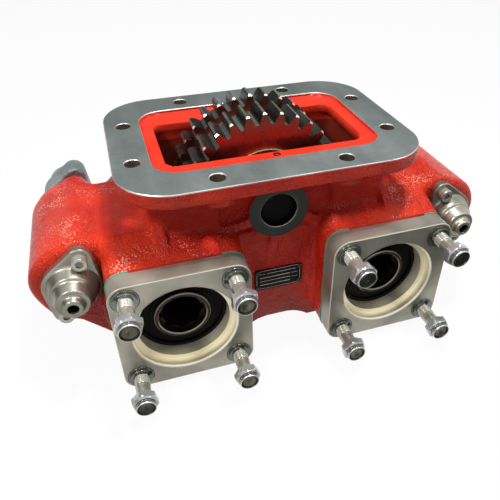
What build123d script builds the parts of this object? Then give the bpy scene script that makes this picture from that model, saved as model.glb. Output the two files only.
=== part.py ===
"""Two-output power take off unit for a truck gearbox, with an eight-bolt mounting flange.

Frame: the origin is the middle of the machined mounting face, +Z points out of that face
towards the gearbox, +X runs along the flange and both outputs face -Y.
An input gear on a fixed spindle drives two output gears that are always in mesh. Each
output shaft is joined to its gear by a sliding clutch sleeve, which a fork on a piston
rod pushes back when air enters the cover, and which a spring returns.
"""
import os
from math import atan2, cos, degrees, hypot, pi, radians, sin, sqrt, tan

from build123d import *

# Mounting flange: eight bolts on the standard large gearbox window
flange_length = 237.0
flange_width = 175.0
flange_thickness = 12.0
flange_corner = 40.0
row_bolt_x = 49.0
row_bolt_y = 73.0
end_bolt_x = 103.2
end_bolt_y = 34.0
flange_bolt_hole = 12.0
bolt_boss_diameter = 24.0
bolt_boss_height = 6.0

# Window in the flange, with the cast ledge sunk inside its machined edge
window_length = 158.0
window_width = 77.0
window_corner = 8.0
ledge_length = 180.0
ledge_width = 115.0
ledge_corner = 20.0
ledge_depth = 3.0

# Where the shafts lie, seen from the outputs
output_x = 86.0
output_z = -112.0
rod_offset_x = 76.1
rod_offset_z = 30.7

# Gear teeth: module, tooth counts and profile shift of the input gear
gear_module = 4.0
input_teeth = 30
output_teeth = 25
profile_shift = 0.5
pressure_angle = 20.0
tooth_thinning = 0.15
tip_chamfer = 1.6

# Input gear: two rows of teeth with a groove between them
input_front = -28.0
front_row_width = 27.0
groove_width = 13.5
back_row_width = 19.0
groove_radius = 52.0
input_bearing_diameter = 37.0
input_bearing_length = 24.0

# Spindle of the input gear, its pin and its thrust washers
spindle_diameter = 28.0
spindle_front = -58.0
spindle_back = 48.0
spindle_pin_diameter = 6.0
spindle_pin_x = 4.0
spindle_pin_y = -45.0
spindle_pin_top = -4.0
thrust_washer_diameter = 80.0
thrust_washer_thickness = 2.4
thrust_pad_inset = 2.0
input_bearing_inset = 1.5
spindle_chamfer = 1.0

# Housing casting
neck_length = 196.0
neck_front = -60.0
neck_back = 52.0
neck_bottom = -156.0
neck_corner = 18.0
wall = 10.0
cavity_front = -46.0
cavity_back = 40.0
barrel_radius = 63.0
barrel_front = -62.0
barrel_back = 78.0
barrel_cavity_radius = 56.0
barrel_cavity_front = -44.0
barrel_cavity_back = 38.0
foot_level = -172.0
taper_start = 40.0
taper_inset = 5.0
lobe_radius = 30.0
lobe_front = -53.0
lobe_end_radius = 22.5
output_face = -81.5
spindle_boss_diameter = 49.0
spindle_boss_front = -63.0
rib_thickness = 5.0
rib_reach = 20.0
shoulder_rise = 10.5
buttress_width = 7.0
buttress_offset = 6.5
buttress_top = -41.0
lip_height = 1.6
lip_depth = 1.2
lip_width = 66.0

# Output flange: standard square pump flange with four studs
plate_side = 105.0
plate_thickness = 16.2
plate_corner = 13.0
plate_chamfer = 0.6
stud_spacing = 80.0
pilot_diameter = 80.0
pilot_depth = 8.5
pilot_chamfer = 1.5
spot_face_diameter = 21.0
spot_face_depth = 1.5
gasket_thickness = 0.8
gasket_margin = 0.5
spigot_lip = 3.0

# Studs, nuts and washers of the output flanges
stud_diameter = 12.0
stud_hole = 13.0
stud_depth = 20.0
stud_tip = -130.0
stud_recess = 1.0
stud_chamfer = 0.8
blind_margin = 2.0
nut_across_flats = 18.0
nut_hex_height = 7.4
nut_collar_height = 3.6
nut_collar_diameter = 16.0
flat_washer_diameter = 20.0
flat_washer_thickness = 2.0
spring_washer_diameter = 18.0
spring_washer_thickness = 2.4
spring_washer_gap = 1.2

# Output shaft, with the standard eight-tooth pump spline inside its end
shaft_diameter = 45.0
shaft_front = -83.0
spline_mouth_diameter = 38.0
spline_mouth_depth = 6.0
spline_outer = 36.0
spline_inner = 32.0
spline_width = 6.0
spline_teeth = 8
spline_end = -35.0
shoulder_diameter = 54.0
journal_diameter = 40.0
shaft_chamfer = 0.8

# Shaft seal, ball bearings and the ring that holds the front bearing
seal_diameter = 72.0
seal_front = -79.5
seal_width = 10.0
seal_rim = 3.0
seal_recess = 1.5
front_bearing_diameter = 85.0
front_bearing_width = 19.0
front_bearing_lip = 3.0
rear_bearing_diameter = 80.0
rear_bearing_width = 18.0
rear_bearing_front = 42.0
bearing_groove_depth = 1.2
bearing_race_share = 0.3
clip_thickness = 1.75
clip_groove_depth = 1.3
clip_height = 4.5
clip_opening = 8.0

# Clutch between output gear and output shaft
clutch_teeth = 20
clutch_outer = 63.0
clutch_inner = 57.0
clutch_tooth_width = 4.4
clutch_length = 12.0
sleeve_diameter = 80.0
sleeve_length = 28.0
sleeve_groove_diameter = 72.0
sleeve_groove_width = 9.0
sleeve_gap = 2.0
sleeve_chamfer = 1.5
shift_travel = 12.0

# Output gear and its needle bearing
output_gear_width = 18.0
gear_hub_front = -2.0
gear_hub_back = 36.0
gear_hub_diameter = 66.0
needle_outer = 48.0
needle_length = 28.0
spacer_diameter = 54.0

# Shift fork, piston rod, piston and return spring
rod_diameter = 14.0
rod_nose_diameter = 10.0
rod_back = 84.0
rod_collar_diameter = 22.0
rod_collar_length = 4.0
rod_chamfer = 0.8
fork_hub_diameter = 24.0
fork_hub_length = 20.0
fork_outer_diameter = 92.0
fork_arm_width = 22.0
fork_mouth = 6.0
passage_margin = 3.0
piston_diameter = 36.0
piston_length = 8.5
piston_front = -59.0
piston_seal_width = 3.0
piston_seal_depth = 2.5
spring_diameter = 19.0
spring_wire = 1.8
spring_turns = 4.0
spring_room = 2.5

# Air cylinder cover
cover_thickness = 7.0
cover_end_radius = 9.5
cover_middle_radius = 22.0
cover_screw_spacing = 50.0
cover_body_diameter = 38.6
cover_body_length = 10.0
cover_step_diameter = 30.0
cover_step_length = 9.8
cover_nose_diameter = 16.8
cover_nose_length = 5.2
cover_draft = 0.28
cover_chamfer = 0.8
port_diameter = 8.4
port_depth = 9.0
air_passage = 3.0
cover_screw_diameter = 6.0
cover_screw_head = 10.0
cover_screw_head_height = 6.0
cover_screw_depth = 14.0
cover_screw_key = 5.0
cover_screw_key_depth = 3.0
cover_pad_margin = 3.0
cover_pad_depth = 13.0

# Rear cap over the spring
cap_diameter = 49.0
cap_length = 28.0
cap_crown_diameter = 42.0
cap_crown_length = 4.0
cap_spigot_diameter = 38.0
cap_spigot_length = 8.0
cap_wall = 6.0
cap_chamfer = 2.0

# Nameplate on the front wall, held by four rivets
nameplate_length = 43.0
nameplate_height = 22.0
nameplate_thickness = 0.8
nameplate_corner = 2.0
nameplate_x = 1.0
nameplate_z = -113.0
rivet_diameter = 2.4
rivet_head = 4.0
rivet_inset = 2.8
rivet_head_height = 0.8
rivet_depth = 3.5

# Clearances
running = 0.04
seat = 0.02
side_play = 0.3
tooth_play = 0.1
overlap = 1.0

# Values worked out from the sizes above
centre_distance = gear_module * (input_teeth + output_teeth) / 2
input_z = output_z + sqrt(centre_distance**2 - output_x**2)
input_tip_radius = gear_module * (input_teeth / 2 + 1 + profile_shift)
input_root_radius = gear_module * (input_teeth / 2 - 1.25 + profile_shift)
output_tip_radius = gear_module * (output_teeth / 2 + 1 - profile_shift)
output_root_radius = gear_module * (output_teeth / 2 - 1.25 - profile_shift)
input_groove_front = input_front + front_row_width
input_back_row = input_groove_front + groove_width
input_back = input_back_row + back_row_width
output_gear_front = input_back_row + (back_row_width - output_gear_width) / 2
thrust_gap = 0.1
front_pad = input_front - thrust_washer_thickness - 2 * thrust_gap
back_pad = input_back + thrust_washer_thickness + 2 * thrust_gap
thrust_pad_radius = thrust_washer_diameter / 2 - thrust_pad_inset
front_bearing_back = barrel_cavity_front - front_bearing_lip
front_bearing_front = front_bearing_back - front_bearing_width
plate_back = output_face - gasket_thickness
plate_front = plate_back - plate_thickness
spigot_back = front_bearing_front - side_play
seal_back = seal_front + seal_width
rod_distance = hypot(rod_offset_x, rod_offset_z)
rod_angle = degrees(atan2(rod_offset_z, rod_offset_x))
barrel_nose_radius = rod_distance - cover_middle_radius - overlap
sleeve_back = gear_hub_front - sleeve_gap
sleeve_front = sleeve_back - sleeve_length
sleeve_middle = (sleeve_front + sleeve_back) / 2
fork_thickness = sleeve_groove_width - 2 * side_play
fork_front = sleeve_middle - fork_thickness / 2
passage_front = fork_front - passage_margin / 2
passage_back = fork_front + fork_hub_length + shift_travel + 2 * passage_margin
piston_floor = piston_front + piston_length + shift_travel + side_play
cover_front = lobe_front - cover_thickness
cover_nose = cover_front - cover_body_length - cover_step_length - cover_nose_length
cap_back = barrel_back + cap_length + cap_crown_length
spring_front = rod_back + side_play
spring_back = cap_back - cap_wall - side_play
nut_front = stud_tip - stud_recess
plate_stud_seat = plate_front + spot_face_depth
boss_top = plate_side / 2
lip_front = output_face - lip_depth


def facing(y, x=0.0, z=0.0, angle=0.0):
    """Plane that faces the viewer at depth y, with its X turned up by an angle."""
    turned = (cos(radians(angle)), 0, sin(radians(angle)))
    return Plane(origin=(x, y, z), x_dir=turned, z_dir=(0, -1, 0))


def at_output(side, y):
    """Plane on an output axis whose X points at the piston rod of that side."""
    outward = (side * cos(radians(rod_angle)), 0, sin(radians(rod_angle)))
    return Plane(origin=(side * output_x, y, output_z), x_dir=outward, z_dir=(0, -1, 0))


def at_rod(side, y):
    """Plane on a piston rod axis, turned like the plane on the output axis."""
    outward = (side * cos(radians(rod_angle)), 0, sin(radians(rod_angle)))
    middle = (side * (output_x + rod_offset_x), y, output_z + rod_offset_z)
    return Plane(origin=middle, x_dir=outward, z_dir=(0, -1, 0))


def level(side, y):
    """Plane on an output axis that isn't turned."""
    return facing(y, side * output_x, output_z)


def upright(x):
    """Plane across X whose own X runs to the back and whose Y rises from the output axes."""
    return Plane(origin=(x, 0, output_z), x_dir=(0, 1, 0), z_dir=(1, 0, 0))


def disc(plane, radius, back, mode=Mode.ADD):
    """Cylinder from a facing plane back to a depth."""
    with BuildSketch(plane) as profile:
        Circle(radius)
    extrude(profile.sketch, amount=-(back - plane.origin.Y), mode=mode)


def cone(plane, radius, end_radius, back):
    """Cone from a facing plane back to a depth, with a radius at either end."""
    with BuildSketch(plane) as start:
        Circle(radius)
    with BuildSketch(plane.offset(-(back - plane.origin.Y))) as end:
        Circle(end_radius)
    loft([start.sketch, end.sketch])


def ring(plane, outer, inner, back):
    """Closed ring from a facing plane back to a depth."""
    with BuildPart() as piece:
        with BuildSketch(plane):
            Circle(outer)
            Circle(inner, mode=Mode.SUBTRACT)
        extrude(amount=-(back - plane.origin.Y))
    return piece


def keep(piece, label):
    """Names a finished piece and writes its file."""
    piece.part.label = label
    export_step(piece.part, f"parts/{label}.step")


def tooth_outline(teeth, shift, root, tip):
    """Corners of one involute tooth on the X axis, from root to tip and back."""
    pitch_radius = gear_module * teeth / 2
    base = pitch_radius * cos(radians(pressure_angle))
    thickness = gear_module * (pi / 2 + 2 * shift * tan(radians(pressure_angle))) - 2 * tooth_thinning
    involute = tan(radians(pressure_angle)) - radians(pressure_angle)
    half_angle = thickness / (2 * pitch_radius) + involute
    start = max(base, root)
    flank = [(root - 1.0, half_angle)]
    for step in range(5):
        radius = start + (tip - start) * step / 4
        unwound = sqrt(max((radius / base) ** 2 - 1, 0))
        flank.append((radius, half_angle - (unwound - atan2(unwound, 1))))
    upper = [(radius * cos(turn), radius * sin(turn)) for radius, turn in flank]
    lower = [(x, -y) for x, y in reversed(upper)]
    return upper + lower


def toothed_disc(plane, teeth, shift, root, tip, phase, back):
    """Row of gear teeth on a root disc, from a facing plane back to a depth."""
    with BuildSketch(plane) as profile:
        Circle(root)
        with PolarLocations(0, teeth, start_angle=phase):
            Polygon(*tooth_outline(teeth, shift, root, tip), align=None)
    extrude(profile.sketch, amount=-(back - plane.origin.Y))


def chamfer_teeth(side_x, z, tip, front, back):
    """Cuts the corners of a row of teeth at both of its faces."""
    for face, inward in ((front, 1), (back, -1)):
        with BuildSketch(Plane.XY.offset(z)) as corner:
            with Locations((side_x, 0)):
                Polygon((tip - tip_chamfer, face - inward * 0.5),
                        (tip + overlap, face - inward * 0.5),
                        (tip + overlap, face + inward * (tip_chamfer + overlap)), align=None)
        revolve(corner.sketch, axis=Axis((side_x, 0, z), (0, 1, 0)), mode=Mode.SUBTRACT)


def spline_slots(minor, major, teeth, width):
    """Round hole with straight slots around it, for a splined bore."""
    Circle(minor)
    with PolarLocations((minor + major) / 2, teeth):
        Rectangle(major - minor + 1.0, width)
    Circle(major, mode=Mode.INTERSECT)


def mesh_phase(side):
    """Angle of an output gear's first tooth, for a flank in a gap of the input gear."""
    towards = degrees(atan2(output_z - input_z, side * output_x))
    pitch = 360 / input_teeth
    offset = (90 - towards) % pitch
    return towards + 180 - offset * input_teeth / output_teeth + 180 / output_teeth


def shift_outline(output_circle, rod_circle):
    """Hull of the circle on an output axis and the circle on its piston rod."""
    Circle(output_circle)
    with Locations((rod_distance, 0)):
        Circle(rod_circle)
    make_hull()


def cover_outline(margin):
    """Rounded diamond of the air cylinder cover, grown by a margin."""
    with Locations((0, cover_screw_spacing / 2), (0, -cover_screw_spacing / 2)):
        Circle(cover_end_radius + margin)
    Circle(cover_middle_radius + margin)
    make_hull()


def flange_bolts():
    """Middles of the eight mounting bolts."""
    rows = [(x, y) for x in (-row_bolt_x, row_bolt_x) for y in (-row_bolt_y, row_bolt_y)]
    ends = [(x, y) for x in (-end_bolt_x, end_bolt_x) for y in (-end_bolt_y, end_bolt_y)]
    return rows + ends


def make_housing():
    """Casting with its flange, two output barrels, shift lobes and bored seats."""
    with BuildPart() as housing:
        # Mounting flange and the bosses under its bolts
        with BuildSketch():
            RectangleRounded(flange_length, flange_width, flange_corner)
        extrude(amount=-flange_thickness)
        with BuildSketch(Plane.XY.offset(-flange_thickness)):
            with Locations(*flange_bolts()):
                Circle(bolt_boss_diameter / 2)
        extrude(amount=-bolt_boss_height)

        # Neck between the flange and the barrels
        with BuildSketch(Plane.XY.offset(-flange_thickness)):
            with Locations((0, (neck_front + neck_back) / 2)):
                RectangleRounded(neck_length, neck_back - neck_front, neck_corner)
        extrude(amount=-(-flange_thickness - neck_bottom))

        # Output barrels with their shift lobes, which end at the back as two tapered tubes
        for side in (-1, 1):
            with BuildSketch(at_output(side, lobe_front)):
                shift_outline(barrel_radius, lobe_radius)
            extrude(amount=-(taper_start - lobe_front))
            cone(level(side, taper_start), barrel_radius, barrel_radius - taper_inset, barrel_back)
            cone(at_rod(side, taper_start), lobe_radius, lobe_end_radius, barrel_back)
            disc(level(side, barrel_front), barrel_nose_radius, lobe_front)
            with BuildSketch(at_rod(side, lobe_front)):
                cover_outline(cover_pad_margin)
            extrude(amount=-cover_pad_depth)

            # Square boss behind the output flange, whose top slopes up into a shoulder
            with BuildSketch(level(side, output_face)):
                RectangleRounded(plate_side, plate_side, plate_corner)
            with BuildSketch(level(side, lobe_front)):
                with Locations((0, shoulder_rise / 2)):
                    RectangleRounded(plate_side, plate_side + shoulder_rise, plate_corner)
            loft()

            # Lip over the top edge of the gasket, and the buttress up to the neck
            under_lip = boss_top + gasket_margin + side_play
            with BuildSketch(upright(side * output_x)):
                Polygon((lip_front, under_lip), (lip_front, boss_top + lip_height),
                        (lobe_front, boss_top + shoulder_rise - overlap), (lobe_front, boss_top - wall),
                        (output_face, boss_top - wall), (output_face, under_lip), align=None)
            extrude(amount=lip_width / 2, both=True)
            with BuildSketch(upright(side * (output_x + buttress_offset))):
                Polygon((output_face + overlap, boss_top - overlap),
                        (neck_front + overlap, buttress_top - output_z),
                        (neck_front + overlap, boss_top - wall), (output_face + overlap, boss_top - wall),
                        align=None)
            extrude(amount=buttress_width / 2, both=True)

        # Boss of the spindle with its three ribs
        disc(facing(spindle_boss_front, 0, input_z), spindle_boss_diameter / 2, cavity_front)
        for turn in (-90, -20, 200):
            with BuildSketch(facing(spindle_boss_front + 2, 0, input_z, turn)):
                with Locations((spindle_boss_diameter / 2, 0)):
                    Rectangle(2 * rib_reach, rib_thickness)
            extrude(amount=-(neck_front - spindle_boss_front))

        # Flat feet under the barrels
        with BuildSketch(Plane.XY.offset(foot_level)):
            Rectangle(3 * flange_length, 3 * flange_width)
        extrude(amount=-barrel_radius, mode=Mode.SUBTRACT)

        # Window, ledge and the space for the input gear
        with BuildSketch(Plane.XY.offset(0)):
            RectangleRounded(ledge_length, ledge_width, ledge_corner)
        extrude(amount=-ledge_depth, mode=Mode.SUBTRACT)
        with BuildSketch(Plane.XY.offset(0)):
            RectangleRounded(window_length, window_width, window_corner)
        extrude(amount=-(flange_thickness + wall), mode=Mode.SUBTRACT)
        with BuildSketch(Plane.XY.offset(-flange_thickness)):
            with Locations((0, (cavity_front + cavity_back) / 2)):
                RectangleRounded(neck_length - 2 * wall, cavity_back - cavity_front, window_corner)
        extrude(amount=-(-flange_thickness - neck_bottom - wall), mode=Mode.SUBTRACT)

        # Pads that carry the thrust washers and the spindle
        disc(facing(cavity_front - 1, 0, input_z), thrust_pad_radius, front_pad)
        disc(facing(back_pad, 0, input_z), thrust_pad_radius, neck_back)
        disc(facing(spindle_boss_front, 0, input_z), spindle_diameter / 2 + seat, spindle_back + seat,
             Mode.SUBTRACT)
        with BuildSketch(Plane.XY.offset(-ledge_depth)):
            with Locations((spindle_pin_x, spindle_pin_y)):
                Circle(spindle_pin_diameter / 2 + seat)
        extrude(amount=-(-ledge_depth - input_z), mode=Mode.SUBTRACT)

        # Seats along the output shafts and the piston rods
        for side in (-1, 1):
            disc(level(side, barrel_cavity_front), barrel_cavity_radius, barrel_cavity_back, Mode.SUBTRACT)
            disc(level(side, output_face), front_bearing_diameter / 2 + seat, barrel_cavity_front,
                 Mode.SUBTRACT)
            disc(level(side, barrel_cavity_back), rear_bearing_diameter / 2 + seat,
                 rear_bearing_front + rear_bearing_width + seat, Mode.SUBTRACT)
            disc(level(side, barrel_cavity_back), rear_bearing_diameter / 2 - wall, barrel_back - wall,
                 Mode.SUBTRACT)
            with BuildSketch(level(side, output_face)):
                with GridLocations(stud_spacing, stud_spacing, 2, 2):
                    Circle(stud_diameter / 2 + seat)
            extrude(amount=-(stud_depth + blind_margin), mode=Mode.SUBTRACT)
            with BuildSketch(at_output(side, passage_front)):
                with Locations((rod_distance - barrel_cavity_radius / 2, 0)):
                    Rectangle(barrel_cavity_radius, fork_hub_diameter + 2 * passage_margin)
                with Locations((rod_distance, 0)):
                    Circle(fork_hub_diameter / 2 + passage_margin)
            extrude(amount=-(passage_back - passage_front), mode=Mode.SUBTRACT)
            disc(at_rod(side, lobe_front), piston_diameter / 2 + running, piston_floor, Mode.SUBTRACT)
            disc(at_rod(side, piston_floor), rod_diameter / 2 + running, barrel_back, Mode.SUBTRACT)
            disc(at_rod(side, barrel_back - cap_spigot_length - side_play), cap_spigot_diameter / 2 + seat,
                 barrel_back, Mode.SUBTRACT)
            with BuildSketch(at_rod(side, lobe_front)):
                with GridLocations(0, cover_screw_spacing, 1, 2):
                    Circle(cover_screw_diameter / 2 + seat)
            extrude(amount=-(cover_screw_depth + blind_margin), mode=Mode.SUBTRACT)

        # Mounting bolt holes and nameplate rivet holes
        with BuildSketch(Plane.XY.offset(0)):
            with Locations(*flange_bolts()):
                Circle(flange_bolt_hole / 2)
        extrude(amount=-(flange_thickness + bolt_boss_height), mode=Mode.SUBTRACT)
        with BuildSketch(facing(neck_front, nameplate_x, nameplate_z)):
            with GridLocations(nameplate_length - 2 * rivet_inset, nameplate_height - 2 * rivet_inset, 2, 2):
                Circle(rivet_diameter / 2 + seat)
        extrude(amount=-(rivet_depth + side_play), mode=Mode.SUBTRACT)
    keep(housing, "housing")


def make_nameplate():
    """Blank plate on the front wall, and its four rivets."""
    with BuildPart() as nameplate:
        with BuildSketch(facing(neck_front, nameplate_x, nameplate_z)):
            RectangleRounded(nameplate_length, nameplate_height, nameplate_corner)
            with GridLocations(nameplate_length - 2 * rivet_inset, nameplate_height - 2 * rivet_inset, 2, 2):
                Circle(rivet_diameter / 2 + seat, mode=Mode.SUBTRACT)
        extrude(amount=nameplate_thickness)
    keep(nameplate, "nameplate")
    with BuildPart() as rivets:
        with BuildSketch(facing(neck_front - nameplate_thickness, nameplate_x, nameplate_z)):
            with GridLocations(nameplate_length - 2 * rivet_inset, nameplate_height - 2 * rivet_inset, 2, 2):
                Circle(rivet_head / 2)
        extrude(amount=rivet_head_height)
        with BuildSketch(facing(neck_front - nameplate_thickness, nameplate_x, nameplate_z)):
            with GridLocations(nameplate_length - 2 * rivet_inset, nameplate_height - 2 * rivet_inset, 2, 2):
                Circle(rivet_diameter / 2)
        extrude(amount=-(nameplate_thickness + rivet_depth))
    keep(rivets, "nameplate_rivets")


def make_input_train():
    """Twin input gear on its spindle, with bearings, washers and the locking pin."""
    with BuildPart() as gear:
        disc(facing(input_groove_front - overlap, 0, input_z), groove_radius, input_back_row + overlap)
        for front, width in ((input_front, front_row_width), (input_back_row, back_row_width)):
            toothed_disc(facing(front, 0, input_z), input_teeth, profile_shift, input_root_radius,
                         input_tip_radius, 90, front + width)
            chamfer_teeth(0, input_z, input_tip_radius, front, front + width)
        disc(facing(input_front, 0, input_z), input_bearing_diameter / 2 + running, input_back,
             Mode.SUBTRACT)
    keep(gear, "input_gear")

    with BuildPart() as spindle:
        disc(facing(spindle_front, 0, input_z), spindle_diameter / 2, spindle_back)
        chamfer(spindle.edges().filter_by(GeomType.CIRCLE), spindle_chamfer)
        with BuildSketch(Plane.XY.offset(input_z + spindle_diameter / 2 + overlap)):
            with Locations((spindle_pin_x, spindle_pin_y)):
                Circle(spindle_pin_diameter / 2 + seat)
        extrude(amount=-(spindle_diameter / 2 + overlap), mode=Mode.SUBTRACT)
    keep(spindle, "input_spindle")

    with BuildPart() as pin:
        with BuildSketch(Plane.XY.offset(spindle_pin_top)):
            with Locations((spindle_pin_x, spindle_pin_y)):
                Circle(spindle_pin_diameter / 2)
                Circle(spindle_pin_diameter / 4, mode=Mode.SUBTRACT)
        extrude(amount=-(spindle_pin_top - input_z - side_play))
    keep(pin, "spindle_pin")

    bearing_starts = (input_front + input_bearing_inset,
                      input_back - input_bearing_inset - input_bearing_length)
    for name, front in zip(("front", "rear"), bearing_starts):
        bearing = ring(facing(front, 0, input_z), input_bearing_diameter / 2, spindle_diameter / 2 + seat,
                       front + input_bearing_length)
        keep(bearing, f"input_bearing_{name}")
    washer_starts = (input_front - thrust_washer_thickness - thrust_gap, input_back + thrust_gap)
    for name, front in zip(("front", "rear"), washer_starts):
        washer = ring(facing(front, 0, input_z), thrust_washer_diameter / 2, spindle_diameter / 2 + seat,
                      front + thrust_washer_thickness)
        keep(washer, f"thrust_washer_{name}")


def make_output_flange(side, name):
    """Square pump flange with gasket, studs, nuts and washers."""
    with BuildPart() as plate:
        with BuildSketch(level(side, plate_front)):
            RectangleRounded(plate_side, plate_side, plate_corner)
        extrude(amount=-plate_thickness)
        chamfer(plate.faces().sort_by(Axis.Y)[0].edges(), plate_chamfer)
        disc(level(side, plate_back), front_bearing_diameter / 2 - seat, spigot_back)
        disc(level(side, plate_front), pilot_diameter / 2, plate_front + pilot_depth, Mode.SUBTRACT)
        disc(level(side, plate_front), seal_diameter / 2 + seat, seal_back, Mode.SUBTRACT)
        disc(level(side, seal_back), seal_diameter / 2 - spigot_lip, spigot_back, Mode.SUBTRACT)
        circles = plate.edges().filter_by(GeomType.CIRCLE)
        mouth = circles.filter_by(lambda edge: edge.radius == pilot_diameter / 2)
        chamfer(mouth.sort_by(Axis.Y)[0], pilot_chamfer)
        with BuildSketch(level(side, plate_front)):
            with GridLocations(stud_spacing, stud_spacing, 2, 2):
                Circle(stud_hole / 2)
        extrude(amount=-plate_thickness, mode=Mode.SUBTRACT)
        with BuildSketch(level(side, plate_front)):
            with GridLocations(stud_spacing, stud_spacing, 2, 2):
                Circle(spot_face_diameter / 2)
        extrude(amount=-spot_face_depth, mode=Mode.SUBTRACT)
    keep(plate, f"{name}_output_flange")

    with BuildPart() as gasket:
        with BuildSketch(level(side, plate_back)):
            RectangleRounded(plate_side + 2 * gasket_margin, plate_side + 2 * gasket_margin,
                             plate_corner + gasket_margin)
            Circle(front_bearing_diameter / 2 + gasket_margin, mode=Mode.SUBTRACT)
            with GridLocations(stud_spacing, stud_spacing, 2, 2):
                Circle(stud_hole / 2, mode=Mode.SUBTRACT)
        extrude(amount=-gasket_thickness)
    keep(gasket, f"{name}_flange_gasket")

    with BuildPart() as studs:
        with BuildSketch(level(side, stud_tip)):
            with GridLocations(stud_spacing, stud_spacing, 2, 2):
                Circle(stud_diameter / 2)
        extrude(amount=-(output_face + stud_depth - stud_tip))
        chamfer(studs.edges().filter_by(GeomType.CIRCLE).group_by(Axis.Y)[0], stud_chamfer)
    keep(studs, f"{name}_flange_studs")

    with BuildPart() as nuts:
        with BuildSketch(level(side, nut_front + nut_collar_height)):
            with GridLocations(stud_spacing, stud_spacing, 2, 2):
                RegularPolygon(nut_across_flats / 2, 6, major_radius=False)
        extrude(amount=-nut_hex_height)
        with BuildSketch(level(side, nut_front)):
            with GridLocations(stud_spacing, stud_spacing, 2, 2):
                Circle(nut_collar_diameter / 2)
        extrude(amount=-nut_collar_height)
        chamfer(nuts.edges().filter_by(GeomType.CIRCLE).group_by(Axis.Y)[0], stud_chamfer)
        with BuildSketch(level(side, nut_front)):
            with GridLocations(stud_spacing, stud_spacing, 2, 2):
                Circle(stud_diameter / 2 + seat)
        extrude(amount=-(nut_hex_height + nut_collar_height), mode=Mode.SUBTRACT)
    keep(nuts, f"{name}_stud_nuts")

    with BuildPart() as washers:
        with BuildSketch(level(side, plate_stud_seat)):
            with GridLocations(stud_spacing, stud_spacing, 2, 2):
                Circle(flat_washer_diameter / 2)
                Circle(stud_diameter / 2 + tooth_play, mode=Mode.SUBTRACT)
        extrude(amount=flat_washer_thickness)
    keep(washers, f"{name}_flat_washers")

    with BuildPart() as spring_washers:
        with BuildSketch(level(side, plate_stud_seat - flat_washer_thickness)):
            with GridLocations(stud_spacing, stud_spacing, 2, 2):
                Circle(spring_washer_diameter / 2)
                Circle(stud_diameter / 2 + tooth_play, mode=Mode.SUBTRACT)
                with Locations((spring_washer_diameter / 2, 0)):
                    Rectangle(spring_washer_diameter, spring_washer_gap, mode=Mode.SUBTRACT)
        extrude(amount=spring_washer_thickness)
    keep(spring_washers, f"{name}_spring_washers")


def make_bearing(side, front, outer, inner, width, label):
    """Ball bearing with the grooves of its shields between the races."""
    race = (outer - inner) * bearing_race_share
    with BuildPart() as bearing:
        with BuildSketch(level(side, front)):
            Circle(outer)
            Circle(inner, mode=Mode.SUBTRACT)
        extrude(amount=-width)
        for face in (front, front + width - bearing_groove_depth):
            with BuildSketch(level(side, face)):
                Circle(outer - race)
                Circle(inner + race, mode=Mode.SUBTRACT)
            extrude(amount=-bearing_groove_depth, mode=Mode.SUBTRACT)
    keep(bearing, label)


def make_output_shaft(side, name):
    """Output shaft with its pump spline, clutch spline, bearings, seal and clip."""
    outer = shaft_diameter / 2 - running
    groove_front = front_bearing_front - clip_thickness - tooth_play
    with BuildPart() as shaft:
        disc(level(side, shaft_front), outer, front_bearing_back + tooth_play)
        disc(level(side, front_bearing_back + tooth_play), shoulder_diameter / 2,
             barrel_cavity_front + overlap)
        with BuildSketch(level(side, barrel_cavity_front)):
            Circle(clutch_inner / 2)
            with PolarLocations(clutch_inner / 2, clutch_teeth):
                Rectangle(clutch_outer - clutch_inner, clutch_tooth_width)
        extrude(amount=-(gear_hub_front - side_play - barrel_cavity_front))
        disc(level(side, gear_hub_front - side_play - overlap), journal_diameter / 2 - running,
             rear_bearing_front + rear_bearing_width - overlap)
        with BuildSketch(level(side, groove_front)):
            Circle(outer + overlap)
            Circle(shaft_diameter / 2 - clip_groove_depth, mode=Mode.SUBTRACT)
        extrude(amount=-(clip_thickness + tooth_play), mode=Mode.SUBTRACT)
        disc(level(side, shaft_front), spline_mouth_diameter / 2, shaft_front + spline_mouth_depth,
             Mode.SUBTRACT)
        with BuildSketch(level(side, shaft_front + spline_mouth_depth)):
            spline_slots(spline_inner / 2, spline_outer / 2, spline_teeth, spline_width)
        extrude(amount=-(spline_end - shaft_front - spline_mouth_depth), mode=Mode.SUBTRACT)
        mouth = shaft.edges().filter_by(GeomType.CIRCLE).group_by(Axis.Y)[0]
        chamfer(mouth, shaft_chamfer)
    keep(shaft, f"{name}_output_shaft")

    with BuildPart() as clip:
        with BuildSketch(level(side, groove_front + tooth_play / 2)):
            Circle(shaft_diameter / 2 + clip_height / 2)
            Circle(shaft_diameter / 2 - clip_groove_depth + tooth_play, mode=Mode.SUBTRACT)
            with Locations((0, -shaft_diameter / 2)):
                Rectangle(clip_opening, 3 * clip_height, mode=Mode.SUBTRACT)
        extrude(amount=-clip_thickness)
    keep(clip, f"{name}_shaft_clip")

    make_bearing(side, front_bearing_front, front_bearing_diameter / 2, shaft_diameter / 2,
                 front_bearing_width, f"{name}_front_bearing")
    make_bearing(side, rear_bearing_front, rear_bearing_diameter / 2, journal_diameter / 2,
                 rear_bearing_width, f"{name}_rear_bearing")

    with BuildPart() as seal:
        with BuildSketch(level(side, seal_front)):
            Circle(seal_diameter / 2)
            Circle(shaft_diameter / 2, mode=Mode.SUBTRACT)
        extrude(amount=-seal_width)
        with BuildSketch(level(side, seal_front)):
            Circle(seal_diameter / 2 - seal_rim)
            Circle(shaft_diameter / 2 + seal_rim, mode=Mode.SUBTRACT)
        extrude(amount=-seal_recess, mode=Mode.SUBTRACT)
    keep(seal, f"{name}_shaft_seal")

    spacer = ring(level(side, gear_hub_back + side_play), spacer_diameter / 2, journal_diameter / 2 + seat,
                  rear_bearing_front - side_play)
    keep(spacer, f"{name}_gear_spacer")


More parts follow.
